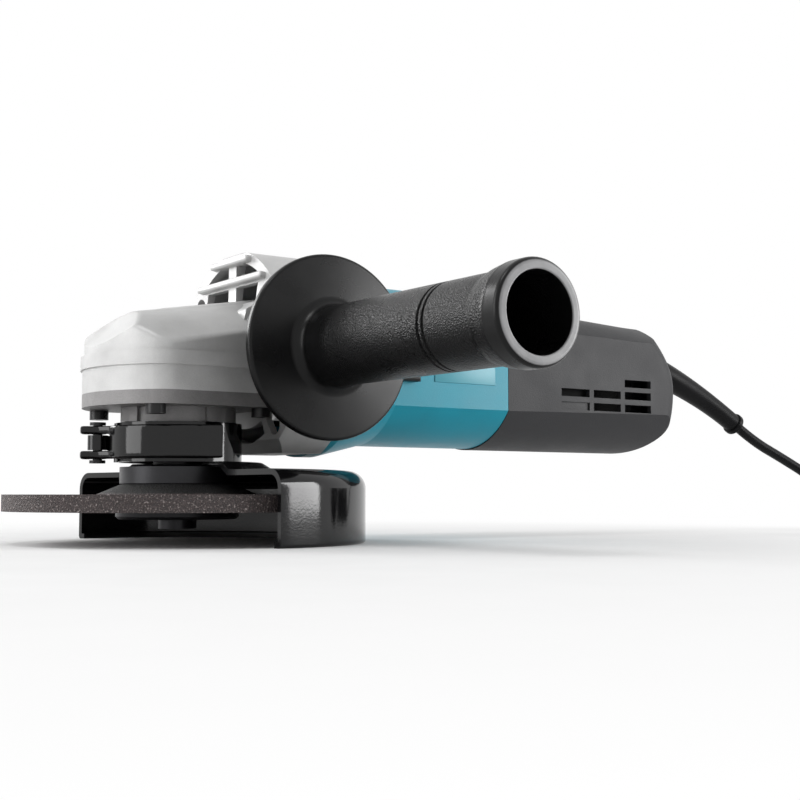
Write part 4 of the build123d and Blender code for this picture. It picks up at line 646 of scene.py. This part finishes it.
def softened(node, body, look):
    """Copy of a CAD node, remeshed and smoothed until its edges are as round as on painted steel."""
    bm = bmesh.new()
    bm.from_mesh(frame["nodes"][node].data)
    bmesh.ops.remove_doubles(bm, verts=bm.verts, dist=MERGE)
    source = bpy.data.meshes.new(node + "_source")
    bm.to_mesh(source)
    helper = bpy.data.objects.new(node + "_helper", source)
    scene.collection.objects.link(helper)
    remesh = helper.modifiers.new("remesh", "REMESH")
    remesh.mode = "VOXEL"
    remesh.voxel_size = LEVER_VOXEL
    mesh = bpy.data.meshes.new_from_object(helper.evaluated_get(bpy.context.evaluated_depsgraph_get()))
    bpy.data.objects.remove(helper)
    bpy.data.meshes.remove(source)
    bm.clear()
    bm.from_mesh(mesh)
    for _ in range(LEVER_PASSES):
        bmesh.ops.smooth_vert(
            bm, verts=bm.verts, factor=0.5, use_axis_x=True, use_axis_y=True, use_axis_z=True,
        )
    bm.to_mesh(mesh)
    bm.free()
    mesh.name = node + "_skin"
    mesh.shade_smooth()
    return new_piece(node + "_skin", mesh, body, look, node)


print("lever in cubes of", round(LEVER_VOXEL / MM, 2), "mm")

# %% [markdown]
# ## Tail cover's end
# The tail ends in a nearly flat face with small corners in plan, and its upper and lower corners
# are well rounded in side view. The solid is longer there and rounder in plan. A new tail could be
# modelled, with its vent slots cut again. It is quicker and keeps the slots to draw the end in:
# each point moves by the share that it has between the start of the change and the solid's own end.

# %% Tail cover's end
TAIL_X, TAIL_TOP, TAIL_LOW = 250.0, 89.1, 31.5  # the solid's end, upper edge and underside
TAIL_PLAN_FLAT, TAIL_PLAN_R, TAIL_SIDE_R = 1.95, 26.0, 24.5  # the solid's corners in plan and in side view
TAIL_MID, TAIL_CREST = 60.3, 91.4  # heights of the middle and of the top
END_X, END_R = 239.0, 8.0  # where the end lies, and its corners in plan
FALL_TOP, FALL_LOW = 8.0, 17.0  # how far the end falls back at the top and at the underside
FALL_CORNER, CORNER_Y = 14.0, 24.0  # how much further at the upper corners, and where they are
CHANGE_X = 220.0  # the change starts here, or sooner at the corners
TAIL_CUT_X = 186.0 * MM
LEVEL_LOW, LEVEL_STEP, LEVELS = 33.0, 2.4, 25  # heights at which the faces are cut


def solid_end(y, z):
    square = max(abs(y) - TAIL_PLAN_FLAT, 0.0)
    plan_end = TAIL_X - TAIL_PLAN_R + math.sqrt(max(TAIL_PLAN_R ** 2 - square ** 2, 0.0))
    corner = max(z - (TAIL_TOP - TAIL_SIDE_R), TAIL_LOW + TAIL_SIDE_R - z, 0.0)
    side_end = TAIL_X - TAIL_SIDE_R + math.sqrt(max(TAIL_SIDE_R ** 2 - corner ** 2, 0.0))
    return min(plan_end, side_end)


def flat_end(y, z):
    if z > TAIL_MID:
        rise = (z - TAIL_MID) / (TAIL_CREST - TAIL_MID)
        fall = (FALL_TOP + FALL_CORNER * (y / CORNER_Y) ** 2) * rise ** 2
    else:
        rise = (TAIL_MID - z) / (TAIL_MID - TAIL_LOW)
        fall = FALL_LOW * (1 - math.sqrt(max(1 - rise ** 2, 0.0)))
    edge = min(max(abs(y) - TAIL_PLAN_FLAT - TAIL_PLAN_R + END_R, 0.0), END_R)
    return END_X - fall - END_R + math.sqrt(END_R ** 2 - edge ** 2)


def round_tail(place):
    x, y, z = place / MM
    z = z + NUT_FACE
    new_end = flat_end(y, z)
    start = min(CHANGE_X, new_end - END_R)
    if x <= start:
        return place.copy()
    x = start + min((x - start) / (solid_end(y, z) - start), 1.0) * (new_end - start)
    return Vector((x * MM, place.y, place.z))


tail_levels = [(LEVEL_LOW + LEVEL_STEP * i - NUT_FACE) * MM for i in range(LEVELS)]
print("tail drawn in by", TAIL_X - END_X, "mm")

# %% [markdown]
# ## Grooves of the grip
# Two fine grooves run round the grip, near its end. In the solid they are further in. Cutting new
# ones would leave the old ones to fill. Moving them along the handle, with the grip stretched
# before them and shortened behind, leaves a clean surface.

# %% Grooves of the grip
GRIP_FROM, GROOVE_FROM, GROOVE_TO, GRIP_TO = 75.0, 104.0, 112.0, 152.0  # along the handle, away from the tool
GROOVE_SHIFT = 17.5


def longer_grip(place):
    y = -place.y / MM
    if y <= GRIP_FROM or y >= GRIP_TO:
        return place.copy()
    before, behind = GROOVE_FROM - GRIP_FROM, GRIP_TO - GROOVE_TO
    if y < GROOVE_FROM:
        y = GRIP_FROM + (y - GRIP_FROM) * (before + GROOVE_SHIFT) / before
    elif y <= GROOVE_TO:
        y = y + GROOVE_SHIFT
    else:
        y = GRIP_TO - (GRIP_TO - y) * (behind - GROOVE_SHIFT) / behind
    return Vector((place.x, -y * MM, place.z))


print("grooves from", GROOVE_FROM + GROOVE_SHIFT, "to", GROOVE_TO + GROOVE_SHIFT, "mm")

# %% [markdown]
# ## Front of the vent hood
# The exhaust hood on the casting has an upright front with windows. In the solid this front leans
# back. The windows would have to be cut again in a new hood, so the front is set upright by a rule
# as well. The change grows softly from the housing's roof upwards and dies out towards the hood's
# back, and the windows move with it.

# %% Front of the vent hood
HOOD_X, HOOD_BACK_X = 22.0, 46.0
HOOD_ROOF_Z, HOOD_EASE = 78.0, 8.0
LEAN_X, LEAN_Z, LEAN = 12.5, 80.0, 0.69  # a point of the solid's front, and its slope
FRONT_MARGIN = 0.5


def upright_hood(place):
    x, z = place.x / MM, place.z / MM + NUT_FACE
    front = LEAN_X + LEAN * (z - LEAN_Z)
    if z < HOOD_ROOF_Z or x < front - FRONT_MARGIN or x > HOOD_BACK_X:
        return place.copy()
    share = min((z - HOOD_ROOF_Z) / HOOD_EASE, 1.0)
    share = share * share * (3 - 2 * share)
    x = x + share * (HOOD_X - front) * (HOOD_BACK_X - x) / (HOOD_BACK_X - front)
    return Vector((x * MM, place.y, place.z))


print("hood's front at", HOOD_X, "mm")

# %% [markdown]
# ## Dressing every node
# Now each node gets its copy, on its own body and in its own finish. Doing it node by node would be
# a long list, so one loop takes body and finish from the record, and a short table holds what
# differs: the three rules above, a dark spindle, and dull plastic for the switch pieces that are
# seen through the vent slots. Only the lever goes its own way.

# %% Dressing every node
changes = {
    "tail_cover": {"move": round_tail, "levels": tail_levels, "beyond": TAIL_CUT_X},
    "side_handle": {"move": longer_grip},
    "gear_housing": {"move": upright_hood},
    "spindle": {"finish": "dark_steel"},
    "switch_rod": {"finish": "dull_plastic"},
    "switch_block": {"finish": "dull_plastic"},
}
slots = {s["node"]: s["material_slot"] for s in frame["record"]["subparts"]}
body_of = {n: b for b, group in frame["record"]["behaviour"]["bodies"].items() for n in group}
cord_nodes = ("cord", "cord_coil", "cord_end")
for node in frame["nodes"]:
    if node in cord_nodes:
        continue
    if node == "clamp_lever":
        copy = softened(node, body_of[node], slots[node])
    else:
        copy = dressed(node, body_of[node], slots[node], **changes.get(node, {}))
    print(node, len(copy.data.polygons))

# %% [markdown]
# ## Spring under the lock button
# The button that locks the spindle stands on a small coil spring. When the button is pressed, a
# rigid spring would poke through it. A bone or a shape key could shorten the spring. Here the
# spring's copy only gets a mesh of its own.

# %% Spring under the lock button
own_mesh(bpy.data.objects["lock_spring_skin"])

# %% [markdown]
# ## Louvre blades and label plate
# Two cast blades stand out over the rows of windows in the hood and shade them, and a bare plate
# lies on the side of the motor housing. They could be swept along a line or cut from a sheet. As
# straight pieces they are simplest as a cube, drawn to its size, bevelled on all edges and turned
# into place.

# %% Louvre blades and label plate
BLADE_X, BLADE_HALF_T, BLADE_EDGE, BLADE_TILT = (19.6, 23.4), 1.3, 0.9, 10
PLATE_LOW, PLATE_HIGH, PLATE_EDGE = (97.0, -29.35, 57.0), (128.0, -28.7, 70.0), 0.25
SHARP_ANGLE = math.radians(40)


def rounded_block(name, low, high, edge, tilt=0.0):
    """Block between two corners in millimetres, with rounded edges, tilted about its length."""
    bm = bmesh.new()
    bmesh.ops.create_cube(bm, size=1.0)
    bmesh.ops.scale(bm, verts=bm.verts, vec=[(b - a) * MM for a, b in zip(low, high)])
    bmesh.ops.bevel(
        bm, geom=bm.edges, offset=edge * MM, offset_type="OFFSET", affect="EDGES", segments=3, profile=0.5,
        material=-1, clamp_overlap=True,
    )
    bmesh.ops.rotate(bm, verts=bm.verts, cent=(0, 0, 0), matrix=Matrix.Rotation(math.radians(tilt), 3, "Y"))
    middle = [(a + b) / 2 for a, b in zip(low, high)]
    bmesh.ops.translate(bm, verts=bm.verts, vec=route([middle])[0])
    mesh = bpy.data.meshes.new(name)
    bm.to_mesh(mesh)
    bm.free()
    mesh.shade_smooth()
    mesh.set_sharp_from_angle(angle=SHARP_ANGLE)
    return mesh


blades = {"lower_blade": (93.2, 25.5), "upper_blade": (100.9, 14.5)}  # height, and half the length
for name, (z, half) in blades.items():
    low, high = (BLADE_X[0], -half, z - BLADE_HALF_T), (BLADE_X[1], half, z + BLADE_HALF_T)
    new_piece(name, rounded_block(name, low, high, BLADE_EDGE, BLADE_TILT), "body", "cast_alloy")
plate = rounded_block("label_plate", PLATE_LOW, PLATE_HIGH, PLATE_EDGE)
new_piece("label_plate", plate, "body", "teal_shell", finish="plate_film")
print("blades", len(blades), "and a bare plate")

# %% [markdown]
# ## Node count
# The cord was built as one spline with its whole length, coil included. The last cell prints the
# number of nodes.

# %% Node count
print("handed over", len(frame["nodes"]), "nodes")
